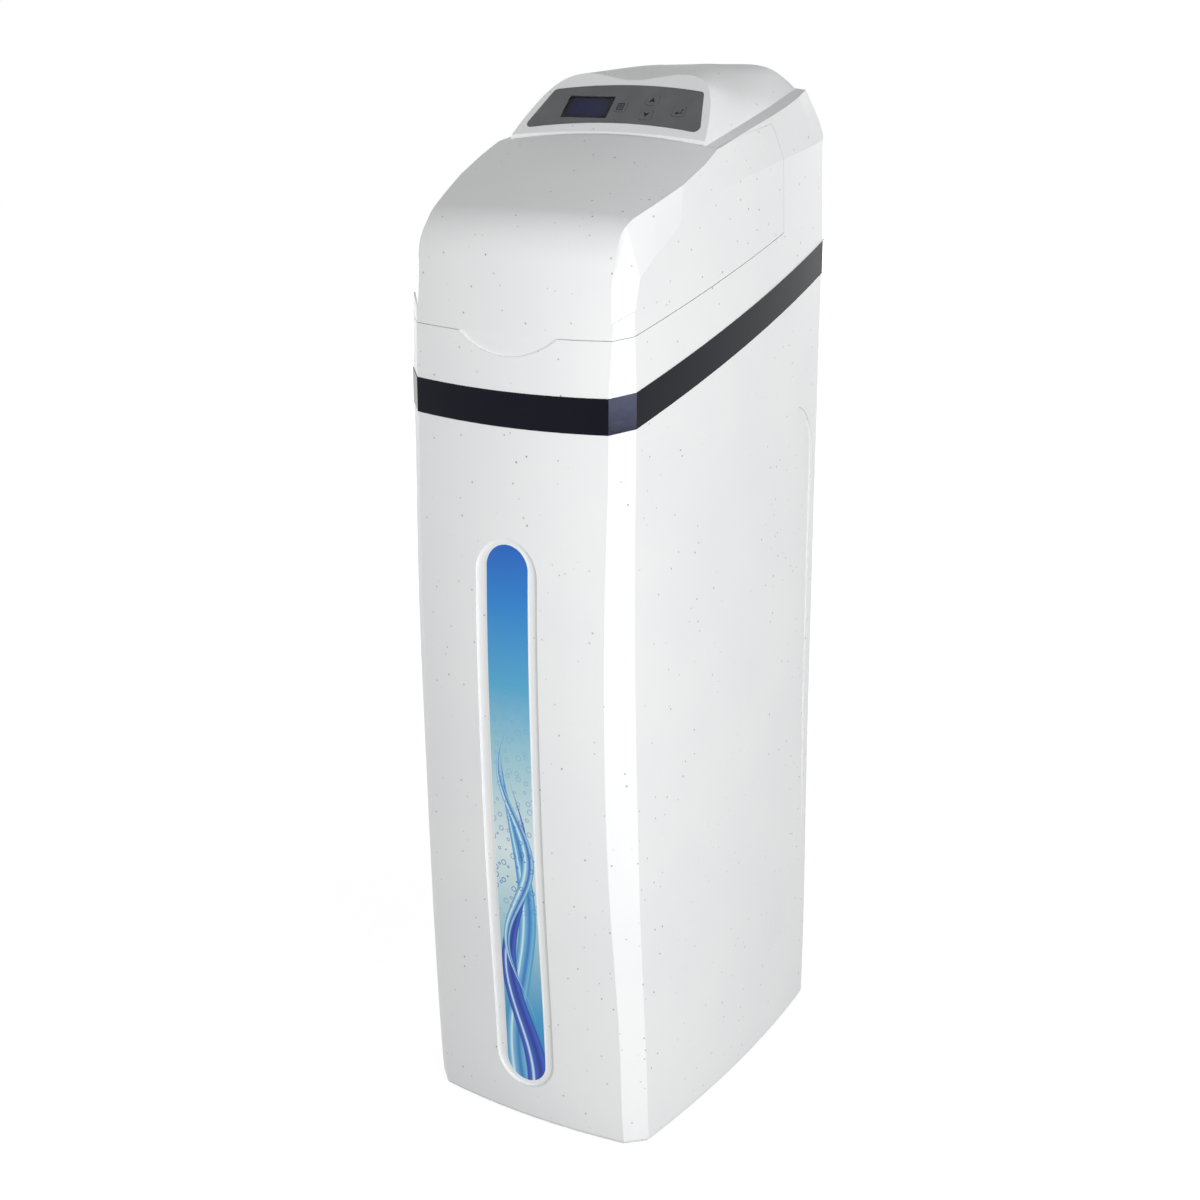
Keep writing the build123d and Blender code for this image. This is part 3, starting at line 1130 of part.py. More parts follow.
def make_drain_outlet():
    """An elbow screwed into the valve's side, with its threaded end towards the rear"""
    x = VALVE_WIDTH / 2
    bend = (x + DRAIN_REACH, DRAIN_Y, PORT_Z)
    hub = DRAIN_RADIUS + ELBOW_BULGE
    body = hexagon_bar(DRAIN_NUT, DRAIN_NUT_LENGTH, (x + RUNNING_FIT, DRAIN_Y, PORT_Z), (1, 0, 0))
    body += tube(DRAIN_LEG_RADIUS, DRAIN_REACH - RUNNING_FIT, (x + RUNNING_FIT, DRAIN_Y, PORT_Z), (1, 0, 0))
    body += elbow_hub(hub, bend, (0, 1, 0))
    body += tube(DRAIN_RADIUS, DRAIN_LENGTH + hub, bend, (0, 1, 0))
    body += tube(DRAIN_BORE, 2 * DRAIN_NUT_LENGTH, (x - DRAIN_NUT_LENGTH, DRAIN_Y, PORT_Z), (1, 0, 0))
    body -= tube(LINE_BORE, DRAIN_REACH + DRAIN_NUT_LENGTH + SMALL_OVERRUN,
                 (x - DRAIN_NUT_LENGTH - SMALL_OVERRUN, DRAIN_Y, PORT_Z), (1, 0, 0))
    return body - tube(LINE_BORE, OVERRUN, bend, (0, 1, 0))


# Brine well and what it holds
def make_brine_well():
    well = tube(WELL_RADIUS, WELL_HEIGHT, (WELL_X, WELL_Y, FLOOR_THICKNESS + SEAT_GAP))
    well -= tube(WELL_RADIUS - WELL_WALL, WELL_HEIGHT, (WELL_X, WELL_Y, FLOOR_THICKNESS + WELL_WALL))
    slot = block(WELL_RADIUS - 2 * WELL_WALL, WELL_RADIUS + WELL_WALL, -WELL_SLOT_WIDTH / 2,
                 WELL_SLOT_WIDTH / 2, WELL_SLOT_WIDTH, WELL_SLOT_WIDTH + WELL_SLOT_HEIGHT)
    for number in range(WELL_SLOTS):
        well -= Pos(WELL_X, WELL_Y, FLOOR_THICKNESS) * Rot(0, 0, (number + 1 / 2) * 360 / WELL_SLOTS) * slot
    return well


def make_well_cap():
    top = FLOOR_THICKNESS + SEAT_GAP + WELL_HEIGHT + RUNNING_FIT
    radius = WELL_RADIUS + SEAT_GAP + CAP_THICKNESS
    cap = tube(radius, CAP_SKIRT + CAP_THICKNESS, (WELL_X, WELL_Y, top - CAP_SKIRT))
    cap = fillet(cap.edges().filter_by(GeomType.CIRCLE).sort_by(Axis.Z)[-1], CAP_THICKNESS / 2)
    cap -= tube(WELL_RADIUS + SEAT_GAP, CAP_SKIRT, (WELL_X, WELL_Y, top - CAP_SKIRT))
    return cap - tube(PICKUP_RADIUS + RUNNING_FIT, 2 * CAP_SKIRT, (PICKUP_X, WELL_Y, top - CAP_SKIRT))


def make_pickup_tube():
    height = CAP_TOP + CAP_SKIRT - PICKUP_FOOT
    tube_body = tube(PICKUP_RADIUS, height, (PICKUP_X, WELL_Y, PICKUP_FOOT))
    return tube_body - tube(PICKUP_BORE, height, (PICKUP_X, WELL_Y, PICKUP_FOOT))


def make_air_check():
    foot = FLOOR_THICKNESS + WELL_WALL + SEAT_GAP
    body = tube(AIR_CHECK_RADIUS, AIR_CHECK_HEIGHT, (PICKUP_X, WELL_Y, foot))
    body = fillet(body.edges().filter_by(GeomType.CIRCLE), AIR_CHECK_RADIUS / 4)
    start = (PICKUP_X, WELL_Y, PICKUP_FOOT - RUNNING_FIT)
    return body - tube(PICKUP_RADIUS + RUNNING_FIT, AIR_CHECK_HEIGHT, start)


def make_safety_valve():
    body = tube(SAFETY_RADIUS, SAFETY_HEIGHT, (WELL_X, WELL_Y, SAFETY_LEVEL))
    body = fillet(body.edges().filter_by(GeomType.CIRCLE), SAFETY_RADIUS / 8)
    arm_start = (PICKUP_X, WELL_Y, SAFETY_LEVEL + SAFETY_HEIGHT / 4)
    body += tube(PICKUP_RADIUS + CAP_THICKNESS, SAFETY_HEIGHT / 2, arm_start)
    low = SAFETY_LEVEL - SAFETY_HEIGHT / 2
    body -= tube(PICKUP_RADIUS + RUNNING_FIT, 2 * SAFETY_HEIGHT, (PICKUP_X, WELL_Y, low))
    return body - tube(ROD_RADIUS + RUNNING_FIT, SAFETY_HEIGHT, (FLOAT_X, WELL_Y, low))


def make_float_rod():
    top = SAFETY_LEVEL + SAFETY_HEIGHT / 2
    rod = tube(ROD_RADIUS, top - ROD_FOOT, (FLOAT_X, WELL_Y, ROD_FOOT))
    rod += tube(COLLAR_RADIUS, COLLAR_HEIGHT, (FLOAT_X, WELL_Y, FLOAT_REST - COLLAR_HEIGHT - RUNNING_FIT))
    upper = FLOAT_REST + FLOAT_HEIGHT + FLOAT_TRAVEL + SEAT_GAP
    return rod + tube(COLLAR_RADIUS, COLLAR_HEIGHT, (FLOAT_X, WELL_Y, upper))


def make_brine_float():
    body = tube(FLOAT_RADIUS, FLOAT_HEIGHT, (FLOAT_X, WELL_Y, FLOAT_REST))
    body = fillet(body.edges().filter_by(GeomType.CIRCLE), FLOAT_RADIUS / 5)
    start = (FLOAT_X, WELL_Y, FLOAT_REST - SMALL_OVERRUN)
    return body - tube(ROD_RADIUS + FLOAT_BORE_GAP, 2 * FLOAT_HEIGHT, start)


# Brine line from the well to the valve
def elbow_places():
    """The line's two ends"""
    z = CAP_TOP + WELL_ELBOW_RISE
    valve_x = -VALVE_WIDTH / 2 - VALVE_ELBOW_REACH
    return (PICKUP_X, WELL_Y + ELBOW_RADIUS + ELBOW_NUT_LENGTH, z), (
        valve_x, VALVE_ELBOW_Y - ELBOW_RADIUS - ELBOW_NUT_LENGTH, VALVE_ELBOW_Z)


def make_well_elbow():
    z = CAP_TOP + WELL_ELBOW_RISE
    low = CAP_TOP + 2 * SEAT_GAP
    body = tube(ELBOW_RADIUS, z - low, (PICKUP_X, WELL_Y, low))
    body += elbow_hub(ELBOW_RADIUS + ELBOW_BULGE, (PICKUP_X, WELL_Y, z), (1, 0, 0))
    body += tube(ELBOW_RADIUS, ELBOW_RADIUS, (PICKUP_X, WELL_Y, z), (0, 1, 0))
    body += hexagon_bar(ELBOW_NUT, ELBOW_NUT_LENGTH, (PICKUP_X, WELL_Y + ELBOW_RADIUS, z), (0, 1, 0))
    body -= tube(PICKUP_RADIUS + RUNNING_FIT, CAP_SKIRT + RUNNING_FIT, (PICKUP_X, WELL_Y, CAP_TOP))
    body -= tube(PICKUP_BORE, z - low, (PICKUP_X, WELL_Y, low))
    return body - tube(LINE_BORE, OVERRUN, (PICKUP_X, WELL_Y, z), (0, 1, 0))


def make_valve_elbow():
    face_x = -VALVE_WIDTH / 2 - RUNNING_FIT
    x = -VALVE_WIDTH / 2 - VALVE_ELBOW_REACH
    body = tube(ELBOW_RADIUS, face_x - x, (x, VALVE_ELBOW_Y, VALVE_ELBOW_Z), (1, 0, 0))
    body += elbow_hub(ELBOW_RADIUS + ELBOW_BULGE, (x, VALVE_ELBOW_Y, VALVE_ELBOW_Z), (0, 0, 1))
    body += tube(ELBOW_RADIUS, ELBOW_RADIUS, (x, VALVE_ELBOW_Y, VALVE_ELBOW_Z), (0, -1, 0))
    nut_place = (x, VALVE_ELBOW_Y - ELBOW_RADIUS, VALVE_ELBOW_Z)
    body += hexagon_bar(ELBOW_NUT, ELBOW_NUT_LENGTH, nut_place, (0, -1, 0))
    body -= tube(LINE_BORE, VALVE_ELBOW_REACH + SMALL_OVERRUN, (x, VALVE_ELBOW_Y, VALVE_ELBOW_Z), (1, 0, 0))
    return body - tube(LINE_BORE, OVERRUN, (x, VALVE_ELBOW_Y, VALVE_ELBOW_Z), (0, -1, 0))


def make_brine_tube():
    start, end = elbow_places()
    points = [start]
    for y, rise, across in zip(LINE_Y, LINE_RISE_SHARES, LINE_ACROSS_SHARES):
        points.append((start[0] + (end[0] - start[0]) * across, y, start[2] + (end[2] - start[2]) * rise))
    points.append(end)
    runs = [(Vector(b) - Vector(a)).length for a, b in zip(points, points[1:])]
    radii = []
    for place, before, after in zip(range(1, len(points) - 1), runs, runs[1:]):
        way = Vector(points[place]) - Vector(points[place - 1])
        next_way = Vector(points[place + 1]) - Vector(points[place])
        turn = radians(way.get_angle(next_way))
        radii.append(LINE_ARC_SHARE * min(before, after) / tan(turn / 2))
    print("brine tube radii", [round(radius) for radius in radii])
    path = FilletPolyline(*points, radius=radii)
    section = Plane(origin=path @ 0, z_dir=path % 0)
    return sweep(section * Circle(LINE_RADIUS), path=path) - sweep(section * Circle(LINE_BORE), path=path)


# Overflow outlet in the rear wall
def make_overflow_elbow():
    inner_y = REAR_Y - CABINET_WALL - OVERFLOW_NUT_THICKNESS - 2 * SEAT_GAP
    bend_y = REAR_Y + OVERFLOW_REACH - OVERFLOW_RADIUS
    place = (OVERFLOW_X, inner_y, OVERFLOW_LEVEL)
    body = tube(OVERFLOW_RADIUS, bend_y - inner_y, place, (0, 1, 0))
    flange_place = (OVERFLOW_X, REAR_Y + SEAT_GAP, OVERFLOW_LEVEL)
    body += tube(OVERFLOW_FLANGE, OVERFLOW_FLANGE_THICKNESS, flange_place, (0, 1, 0))
    body += elbow_hub(OVERFLOW_RADIUS + ELBOW_BULGE, (OVERFLOW_X, bend_y, OVERFLOW_LEVEL), (0, 0, 1))
    body += tube(OVERFLOW_RADIUS, OVERFLOW_TAIL, (OVERFLOW_X, bend_y, OVERFLOW_LEVEL), (0, 0, -1))
    body -= tube(OVERFLOW_BORE, bend_y - inner_y, place, (0, 1, 0))
    return body - tube(OVERFLOW_BORE, OVERRUN, (OVERFLOW_X, bend_y, OVERFLOW_LEVEL), (0, 0, -1))


def make_overflow_nut():
    y = REAR_Y - CABINET_WALL - SEAT_GAP - OVERFLOW_NUT_THICKNESS
    nut = hexagon_bar(OVERFLOW_NUT, OVERFLOW_NUT_THICKNESS, (OVERFLOW_X, y, OVERFLOW_LEVEL), (0, 1, 0))
    start = (OVERFLOW_X, y - OVERRUN / 2, OVERFLOW_LEVEL)
    return nut - tube(OVERFLOW_RADIUS + RUNNING_FIT, OVERRUN, start, (0, 1, 0))


PIECES = {
    "cabinet": make_cabinet,
    "trim_band": make_trim_band,
    "decorative_strip": make_decorative_strip,
    "top_cover": make_top_cover,
    "salt_lid": make_salt_lid,
    "hinge_pins": make_hinge_pins,
    "control_fascia": make_control_fascia,
    "display_window": make_display_window,
    "display_module": make_display_module,
    "display_board": make_display_board,
    "board_screws": make_board_screws,
    "cover_screws": make_cover_screws,
    "resin_vessel": make_resin_vessel,
    "vessel_foot": make_vessel_foot,
    "riser_tube": make_riser_tube,
    "lower_strainer": make_lower_strainer,
    "upper_strainer": make_upper_strainer,
    "resin_bed": make_resin_bed,
    "valve_body": make_valve_body,
    "valve_disc": make_valve_disc,
    "main_gear": make_main_gear,
    "drive_pinion": make_drive_pinion,
    "gear_plate": make_gear_plate,
    "bracket_screws": make_bracket_screws,
    "motor_bracket": make_motor_bracket,
    "drive_motor": make_drive_motor,
    "inlet_adapter": lambda: make_adapter(1),
    "outlet_adapter": make_outlet_adapter,
    "flow_turbine": make_flow_turbine,
    "drain_outlet": make_drain_outlet,
    "brine_well": make_brine_well,
    "well_cap": make_well_cap,
    "pickup_tube": make_pickup_tube,
    "air_check": make_air_check,
    "safety_valve": make_safety_valve,
    "float_rod": make_float_rod,
    "brine_float": make_brine_float,
    "well_elbow": make_well_elbow,
    "valve_elbow": make_valve_elbow,
    "brine_tube": make_brine_tube,
    "overflow_elbow": make_overflow_elbow,
    "overflow_nut": make_overflow_nut,
}

os.makedirs("parts", exist_ok=True)
for name, make in PIECES.items():
    export_step(make(), f"parts/{name}.step")
for name, place in zip(KEY_NAMES, zip(KEY_X, KEY_Y)):
    export_step(make_key(place), f"parts/{name}.step")
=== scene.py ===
# Cabinet water softener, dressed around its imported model.
# Metres. +X is right seen from the front, -Y is the front, +Z is up, the floor is at zero.
import json
from math import cos, pi, radians, sin

import bmesh
import bpy
from mathutils import Matrix, Vector

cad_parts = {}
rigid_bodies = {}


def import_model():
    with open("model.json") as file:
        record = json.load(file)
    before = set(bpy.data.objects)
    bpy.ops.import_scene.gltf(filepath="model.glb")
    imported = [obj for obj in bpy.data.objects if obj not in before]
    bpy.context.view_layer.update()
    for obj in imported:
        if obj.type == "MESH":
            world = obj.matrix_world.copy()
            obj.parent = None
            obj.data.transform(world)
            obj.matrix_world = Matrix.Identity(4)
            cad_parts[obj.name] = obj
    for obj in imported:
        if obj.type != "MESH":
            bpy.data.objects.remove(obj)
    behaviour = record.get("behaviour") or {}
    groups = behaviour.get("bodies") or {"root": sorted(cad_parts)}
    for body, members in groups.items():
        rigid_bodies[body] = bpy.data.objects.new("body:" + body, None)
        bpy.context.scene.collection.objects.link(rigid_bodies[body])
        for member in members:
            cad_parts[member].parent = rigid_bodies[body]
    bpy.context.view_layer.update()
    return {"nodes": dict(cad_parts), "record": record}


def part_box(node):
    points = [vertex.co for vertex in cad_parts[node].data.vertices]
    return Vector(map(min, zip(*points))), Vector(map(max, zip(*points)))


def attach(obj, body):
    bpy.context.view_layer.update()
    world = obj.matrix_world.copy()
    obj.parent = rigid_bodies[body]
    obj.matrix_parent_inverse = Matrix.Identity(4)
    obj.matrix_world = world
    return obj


for thing in list(bpy.data.objects):
    bpy.data.objects.remove(thing)
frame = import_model()

MM = 0.001

# Camera, at the photograph's place
CAMERA_PLACE = (1.0310, -1.7205, 1.1872)
CAMERA_PITCH = 17.2126
CAMERA_TURN = 31.625
CAMERA_LENS = 55.26
CAMERA_SENSOR = 36.0

# Round lamps, each with its place, width and power, aimed at the middle of the body
LAMP_TARGET = Vector((0, 0, 0.55))
LAMPS = (("front", (-0.2, -3.0, 1.3), 1.5, 32.0),
         ("front_right", (2.53, -1.62, 0.82), 1.2, 50.0),
         ("right", (2.9, -0.2, 1.5), 1.6, 19.0),
         ("left", (-3.0, 0.7, 1.1), 1.6, 34.0),
         ("rear", (-0.2, 3.1, 1.0), 1.6, 38.0))

# Studio: the room's own light, and a floor that pales from near the object to white
ROOM_LIGHT = 0.22
FLOOR_REACH = 12.0
FLOOR_NEAR_GLOW = 0.84
FLOOR_NEAR = 0.7
FLOOR_FAR = 2.0

# Specks in the white plastic: their spacing, and their solid and faded edges as shares of it
SPECK_SPACING = 13 * MM
SPECK_CORE = 0.05
SPECK_EDGE = 0.11

# Decorative strip: its white border and the blues of its fade, by share of its height
STRIP_BORDER = 1.1 * MM
STRIP_FADE = ((0.0, "#1070bf"), (0.14, "#3f9aca"), (0.3, "#9fcbd6"), (0.46, "#dcebec"),
              (0.62, "#a3cdd8"), (0.76, "#4fa6cf"), (0.9, "#1b80cc"), (1.0, "#065dbd"))

# Ribbons on the strip: how far each sways to a side, how high it climbs in a radian of its sway and the
# phase of that, half its width and how much this swells, the shares of the strip's height where it
# starts and ends, and its two colours. What all three have alike comes after them: how fast they swell
# beside their sway, how long they take to grow and to dwindle, their least width, and where in it their
# edges begin to soften
RIBBONS = (dict(sway=13 * MM, climb=58 * MM, phase=3.1, width=16.5 * MM, swell=0.30, start=-0.4, end=0.66,
                edge="#2a78c0", core="#74bde0"),
           dict(sway=16 * MM, climb=46 * MM, phase=0.4, width=12.5 * MM, swell=0.35, start=-0.3, end=0.60,
                edge="#17248f", core="#2a62c8"),
           dict(sway=17 * MM, climb=34 * MM, phase=4.4, width=6.0 * MM, swell=0.40, start=0.1, end=0.74,
                edge="#1f5ab6", core="#9fd6ea"))
RIBBON_SWELL_RATE = 0.43
RIBBON_GROWTH = 0.3
RIBBON_DWINDLE = 0.35
RIBBON_LEAST = 0.001 * MM
RIBBON_EDGE = 0.9

# Rings on the strip: their spacing, and as shares of it their radii and the edges of their lines
RING_SPACING = 12 * MM
RING_RANGE = 0.24
RING_LEAST = 0.03
RING_LINE = 0.02
RING_BLUR = 0.06

# Display: its dark rim at the sides and at top and bottom, and the blur where the rim ends
DISPLAY_SIDE_RIM = 6.5 * MM
DISPLAY_TOP_RIM = 3.4 * MM
DISPLAY_BLUR = 0.6 * MM

# Circuit board: the size of the tracks' pattern, which holds four rows, and their width as a share of it
TRACK_PATTERN = 22 * MM
TRACK_WIDTH = 0.03

# Resin vessel's windings: tapes side by side, how far they climb in a radian, and how strongly they show
WINDING_TAPES = 6
WINDING_CLIMB = 85 * MM
WINDING_SHARE = 0.3

# Control panel's plane: the way up it and the way out of it
PANEL_TURN = radians(45)
PANEL_UP = Vector((0, cos(PANEL_TURN), sin(PANEL_TURN)))
PANEL_OUT = Vector((0, -sin(PANEL_TURN), cos(PANEL_TURN)))

# Printed key symbols: ink thickness, stroke width, and the sizes of their parts
INK_THICKNESS = 0.1 * MM
STROKE = 1.0 * MM
ARROW_WIDTH = 7.6 * MM
ARROW_HEIGHT = 6.6 * MM
ARROW_NOTCH = 1.7 * MM
PAGE_WIDTH = 8.0 * MM
PAGE_HEIGHT = 9.0 * MM
PAGE_LINE_STEP = PAGE_HEIGHT / 4.6
RETURN_WIDTH = 8.2 * MM
RETURN_HEIGHT = 6.0 * MM
RETURN_HEAD = 4.0 * MM

# Pipe threads: pitches and lengths on the two ports and the drain, and the cut that all three share
PORT_PITCH = 2.31 * MM
PORT_THREAD = 26 * MM
DRAIN_PITCH = 1.81 * MM
DRAIN_THREAD = 18 * MM
THREAD_DEPTH = 0.5 * MM
THREAD_END = 2.5 * MM
THREAD_STEPS = 32

MOUNTS = {mount["name"]: mount for mount in frame["record"]["mounts"]}
SLOTS = {part["node"]: part["material_slot"] for part in frame["record"]["subparts"]}


def colour(text):
    """An sRGB hex value as a linear colour"""
    shares = [int(text[place:place + 2], 16) / 255 for place in (1, 3, 5)]
    linear = [share / 12.92 if share <= 0.04045 else ((share + 0.055) / 1.055) ** 2.4 for share in shares]
    return (*linear, 1.0)


def add(tree, kind, links=None, stops=None, **settings):
    """Add a node: links gives its inputs, as values or as outputs, and stops a ramp's colours in order"""
    node = tree.nodes.new(kind)
    for name, value in settings.items():
        setattr(node, name, value)
    for name, value in (links or {}).items():
        if isinstance(value, bpy.types.NodeSocket):
            tree.links.new(value, node.inputs[name])
        else:
            node.inputs[name].default_value = value
    for order, (position, value) in enumerate(stops or ()):
        elements = node.color_ramp.elements
        stop = elements[order] if order < 2 else elements.new(position)
        stop.position = position
        stop.color = colour(value)
    return node


def new_material(name, **values):
    """A new material, its tree, its shader with the given values, and the place on its object"""
    made = bpy.data.materials.new(name)
    made.use_nodes = True
    tree = made.node_tree
    shader = tree.nodes["Principled BSDF"]
    for socket, value in values.items():
        shader.inputs[socket.replace("_", " ")].default_value = value
    place = add(tree, "ShaderNodeTexCoord").outputs["Object"]
    return made, tree, shader, place


def grain(tree, shader, place, size, depth):
    """A moulded surface's fine unevenness, by its size and depth"""
    noise = add(tree, "ShaderNodeTexNoise", {"Vector": place, "Scale": 1 / size, "Detail": 2.0})
    bump = add(tree, "ShaderNodeBump", {"Height": noise.outputs[0], "Strength": 1.0, "Distance": depth})
    tree.links.new(bump.outputs[0], shader.inputs["Normal"])


def shifting_tone(tree, shader, place, size, low, high):
    """A colour that drifts slowly between two tones"""
    noise = add(tree, "ShaderNodeTexNoise", {"Vector": place, "Scale": 1 / size, "Detail": 3.0})
    ramp = add(tree, "ShaderNodeValToRGB", {"Fac": noise.outputs[0]}, stops=((0.35, low), (0.65, high)))
    tree.links.new(ramp.outputs[0], shader.inputs["Base Color"])
    return ramp.outputs[0]


# Rotomoulded polyethylene, white: satin skin with a soft orange peel and sparse grey specks
def speckled_polyethylene():
    made, tree, shader, place = new_material("speckled_white_polyethylene", Roughness=0.46, IOR=1.42)
    tone = shifting_tone(tree, shader, place, size=160 * MM, low="#ecedee", high="#eff0f0")
    cells = add(tree, "ShaderNodeTexVoronoi", {"Vector": place, "Scale": 1 / SPECK_SPACING})
    speck = add(tree, "ShaderNodeMapRange", {"Value": cells.outputs["Distance"], "From Min": SPECK_CORE,
                                             "From Max": SPECK_EDGE, "To Min": 1.0, "To Max": 0.0})
    strength = add(tree, "ShaderNodeSeparateColor", {"Color": cells.outputs["Color"]})
    share = add(tree, "ShaderNodeMath", {0: speck.outputs[0], 1: strength.outputs[0]}, operation="MULTIPLY")
    mixed = add(tree, "ShaderNodeMix", {"Factor": share.outputs[0], "A": tone, "B": colour("#8d9196")},
                data_type="RGBA")
    tree.links.new(mixed.outputs["Result"], shader.inputs["Base Color"])
    grain(tree, shader, place, size=2.4 * MM, depth=0.03 * MM)
    return made


# Glossy ABS, near black with a blue cast: reflects the room softly along the band
def gloss_black_abs():
    made, tree, shader, place = new_material("gloss_black_abs", Roughness=0.12, IOR=1.27,
                                             Specular_Tint=colour("#c4ccf8"))
    shifting_tone(tree, shader, place, size=60 * MM, low="#08080a", high="#0c0c0f")
    grain(tree, shader, place, size=12 * MM, depth=0.04 * MM)
    return made


def with_ribbon(tree, picture, axes, height, ribbon):
    """Lay a ribbon over the picture: it sways and swells as it climbs, and tapers at both ends"""
    turn = add(tree, "ShaderNodeMath", {0: axes["Z"], 1: 1 / ribbon["climb"], 2: ribbon["phase"]},
               operation="MULTIPLY_ADD").outputs[0]
    wave = add(tree, "ShaderNodeMath", {0: turn}, operation="SINE").outputs[0]
    line = add(tree, "ShaderNodeMath", {0: wave, 1: ribbon["sway"]}, operation="MULTIPLY").outputs[0]
    slow = add(tree, "ShaderNodeMath", {0: turn, 1: RIBBON_SWELL_RATE}, operation="MULTIPLY").outputs[0]
    pulse = add(tree, "ShaderNodeMath", {0: slow}, operation="COSINE").outputs[0]
    swelling = add(tree, "ShaderNodeMath", {0: pulse, 1: ribbon["swell"], 2: 1.0},
                   operation="MULTIPLY_ADD").outputs[0]
    growing = add(tree, "ShaderNodeMapRange", {"Value": height, "From Min": ribbon["start"],
                                               "From Max": ribbon["start"] + RIBBON_GROWTH},
                  interpolation_type="SMOOTHSTEP").outputs[0]
    dwindling = add(tree, "ShaderNodeMapRange", {"Value": height, "From Min": ribbon["end"] - RIBBON_DWINDLE,
                                                 "From Max": ribbon["end"], "To Min": 1.0, "To Max": 0.0},
                    interpolation_type="SMOOTHSTEP").outputs[0]
    taper = add(tree, "ShaderNodeMath", {0: growing, 1: dwindling}, operation="MULTIPLY").outputs[0]
    girth = add(tree, "ShaderNodeMath", {0: swelling, 1: taper}, operation="MULTIPLY").outputs[0]
    width = add(tree, "ShaderNodeMath", {0: girth, 1: ribbon["width"], 2: RIBBON_LEAST},
                operation="MULTIPLY_ADD").outputs[0]
    offset = add(tree, "ShaderNodeMath", {0: axes["X"], 1: line}, operation="SUBTRACT").outputs[0]
    side = add(tree, "ShaderNodeMath", {0: offset, 1: width}, operation="DIVIDE").outputs[0]
    away = add(tree, "ShaderNodeMath", {0: side}, operation="ABSOLUTE").outputs[0]
    body = add(tree, "ShaderNodeMapRange", {"Value": away, "From Min": RIBBON_EDGE, "From Max": 1.0,
                                            "To Min": 1.0, "To Max": 0.0}).outputs[0]
    across = add(tree, "ShaderNodeMapRange", {"Value": side, "From Min": -1.0, "From Max": 1.0}).outputs[0]
    edge, core, glint = ribbon["edge"], ribbon["core"], "#e4f5fa"
    tones = add(tree, "ShaderNodeValToRGB", {"Fac": across}, stops=(
        (0.0, edge), (0.2, core), (0.29, glint), (0.37, core), (0.62, edge), (0.84, core), (1.0, edge)))
    return add(tree, "ShaderNodeMix", {"Factor": body, "A": picture, "B": tones.outputs[0]},
               data_type="RGBA").outputs["Result"]


def with_rings(tree, picture, axes, height):
    """Scatter thin rings of mixed sizes over the middle of the picture"""
    flat = add(tree, "ShaderNodeCombineXYZ", {"X": axes["X"], "Y": axes["Z"]}).outputs[0]
    cells = add(tree, "ShaderNodeTexVoronoi", {"Vector": flat, "Scale": 1 / RING_SPACING, "Randomness": 0.9},
                voronoi_dimensions="2D").outputs
    size = add(tree, "ShaderNodeSeparateColor", {"Color": cells["Color"]}).outputs[0]
    radius = add(tree, "ShaderNodeMath", {0: size, 1: RING_RANGE, 2: RING_LEAST},
                 operation="MULTIPLY_ADD").outputs[0]
    past = add(tree, "ShaderNodeMath", {0: cells["Distance"], 1: radius}, operation="SUBTRACT").outputs[0]
    away = add(tree, "ShaderNodeMath", {0: past}, operation="ABSOLUTE").outputs[0]
    ring = add(tree, "ShaderNodeMapRange", {"Value": away, "From Min": RING_LINE, "From Max": RING_BLUR,
                                            "To Min": 1.0, "To Max": 0.0}).outputs[0]
    zone = add(tree, "ShaderNodeValToRGB", {"Fac": height}, stops=(
        (0.3, "#000000"), (0.4, "#ffffff"), (0.62, "#8a8a8a"), (0.8, "#000000"))).outputs[0]
    shown = add(tree, "ShaderNodeMath", {0: ring, 1: zone}, operation="MULTIPLY").outputs[0]
    return add(tree, "ShaderNodeMix", {"Factor": shown, "A": picture, "B": colour("#2a6fc0")},
               data_type="RGBA").outputs["Result"]


def with_border(tree, picture, axes, low, high):
    """Frame the picture in white, along the strip's straight sides and its round ends"""
    half_width = (high.x - low.x) / 2
    half_run = (high.z - low.z) / 2 - half_width
    offset = add(tree, "ShaderNodeMath", {0: axes["Z"], 1: (low.z + high.z) / 2}, operation="SUBTRACT")
    along = add(tree, "ShaderNodeMath", {0: offset.outputs[0]}, operation="ABSOLUTE")
    past = add(tree, "ShaderNodeMath", {0: along.outputs[0], 1: half_run}, operation="SUBTRACT")
    end = add(tree, "ShaderNodeMath", {0: past.outputs[0], 1: 0.0}, operation="MAXIMUM")
    spot = add(tree, "ShaderNodeCombineXYZ", {"X": axes["X"], "Y": end.outputs[0]})
    reach = add(tree, "ShaderNodeVectorMath", {0: spot.outputs[0]}, operation="LENGTH")
    border = add(tree, "ShaderNodeMath", {0: reach.outputs["Value"], 1: half_width - STRIP_BORDER},
                 operation="GREATER_THAN")
    return add(tree, "ShaderNodeMix", {"Factor": border.outputs[0], "A": picture, "B": colour("#f2f4f6")},
               data_type="RGBA").outputs["Result"]


# Printed vinyl film under a clear layer: a blue fade with rolling ribbons and small rings, bordered white
def printed_film():
    made, tree, shader, place = new_material("printed_vinyl_film", Roughness=0.3, IOR=1.49)
    low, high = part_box("decorative_strip")
    axes = add(tree, "ShaderNodeSeparateXYZ", {"Vector": place}).outputs
    height = add(tree, "ShaderNodeMapRange", {"Value": axes["Z"], "From Min": low.z,
                                              "From Max": high.z}).outputs[0]
    picture = add(tree, "ShaderNodeValToRGB", {"Fac": height}, stops=STRIP_FADE).outputs[0]
    for ribbon in RIBBONS:
        picture = with_ribbon(tree, picture, axes, height, ribbon)
    picture = with_rings(tree, picture, axes, height)
    picture = with_border(tree, picture, axes, low, high)
    tree.links.new(picture, shader.inputs["Base Color"])
    grain(tree, shader, place, size=14 * MM, depth=0.03 * MM)
    return made


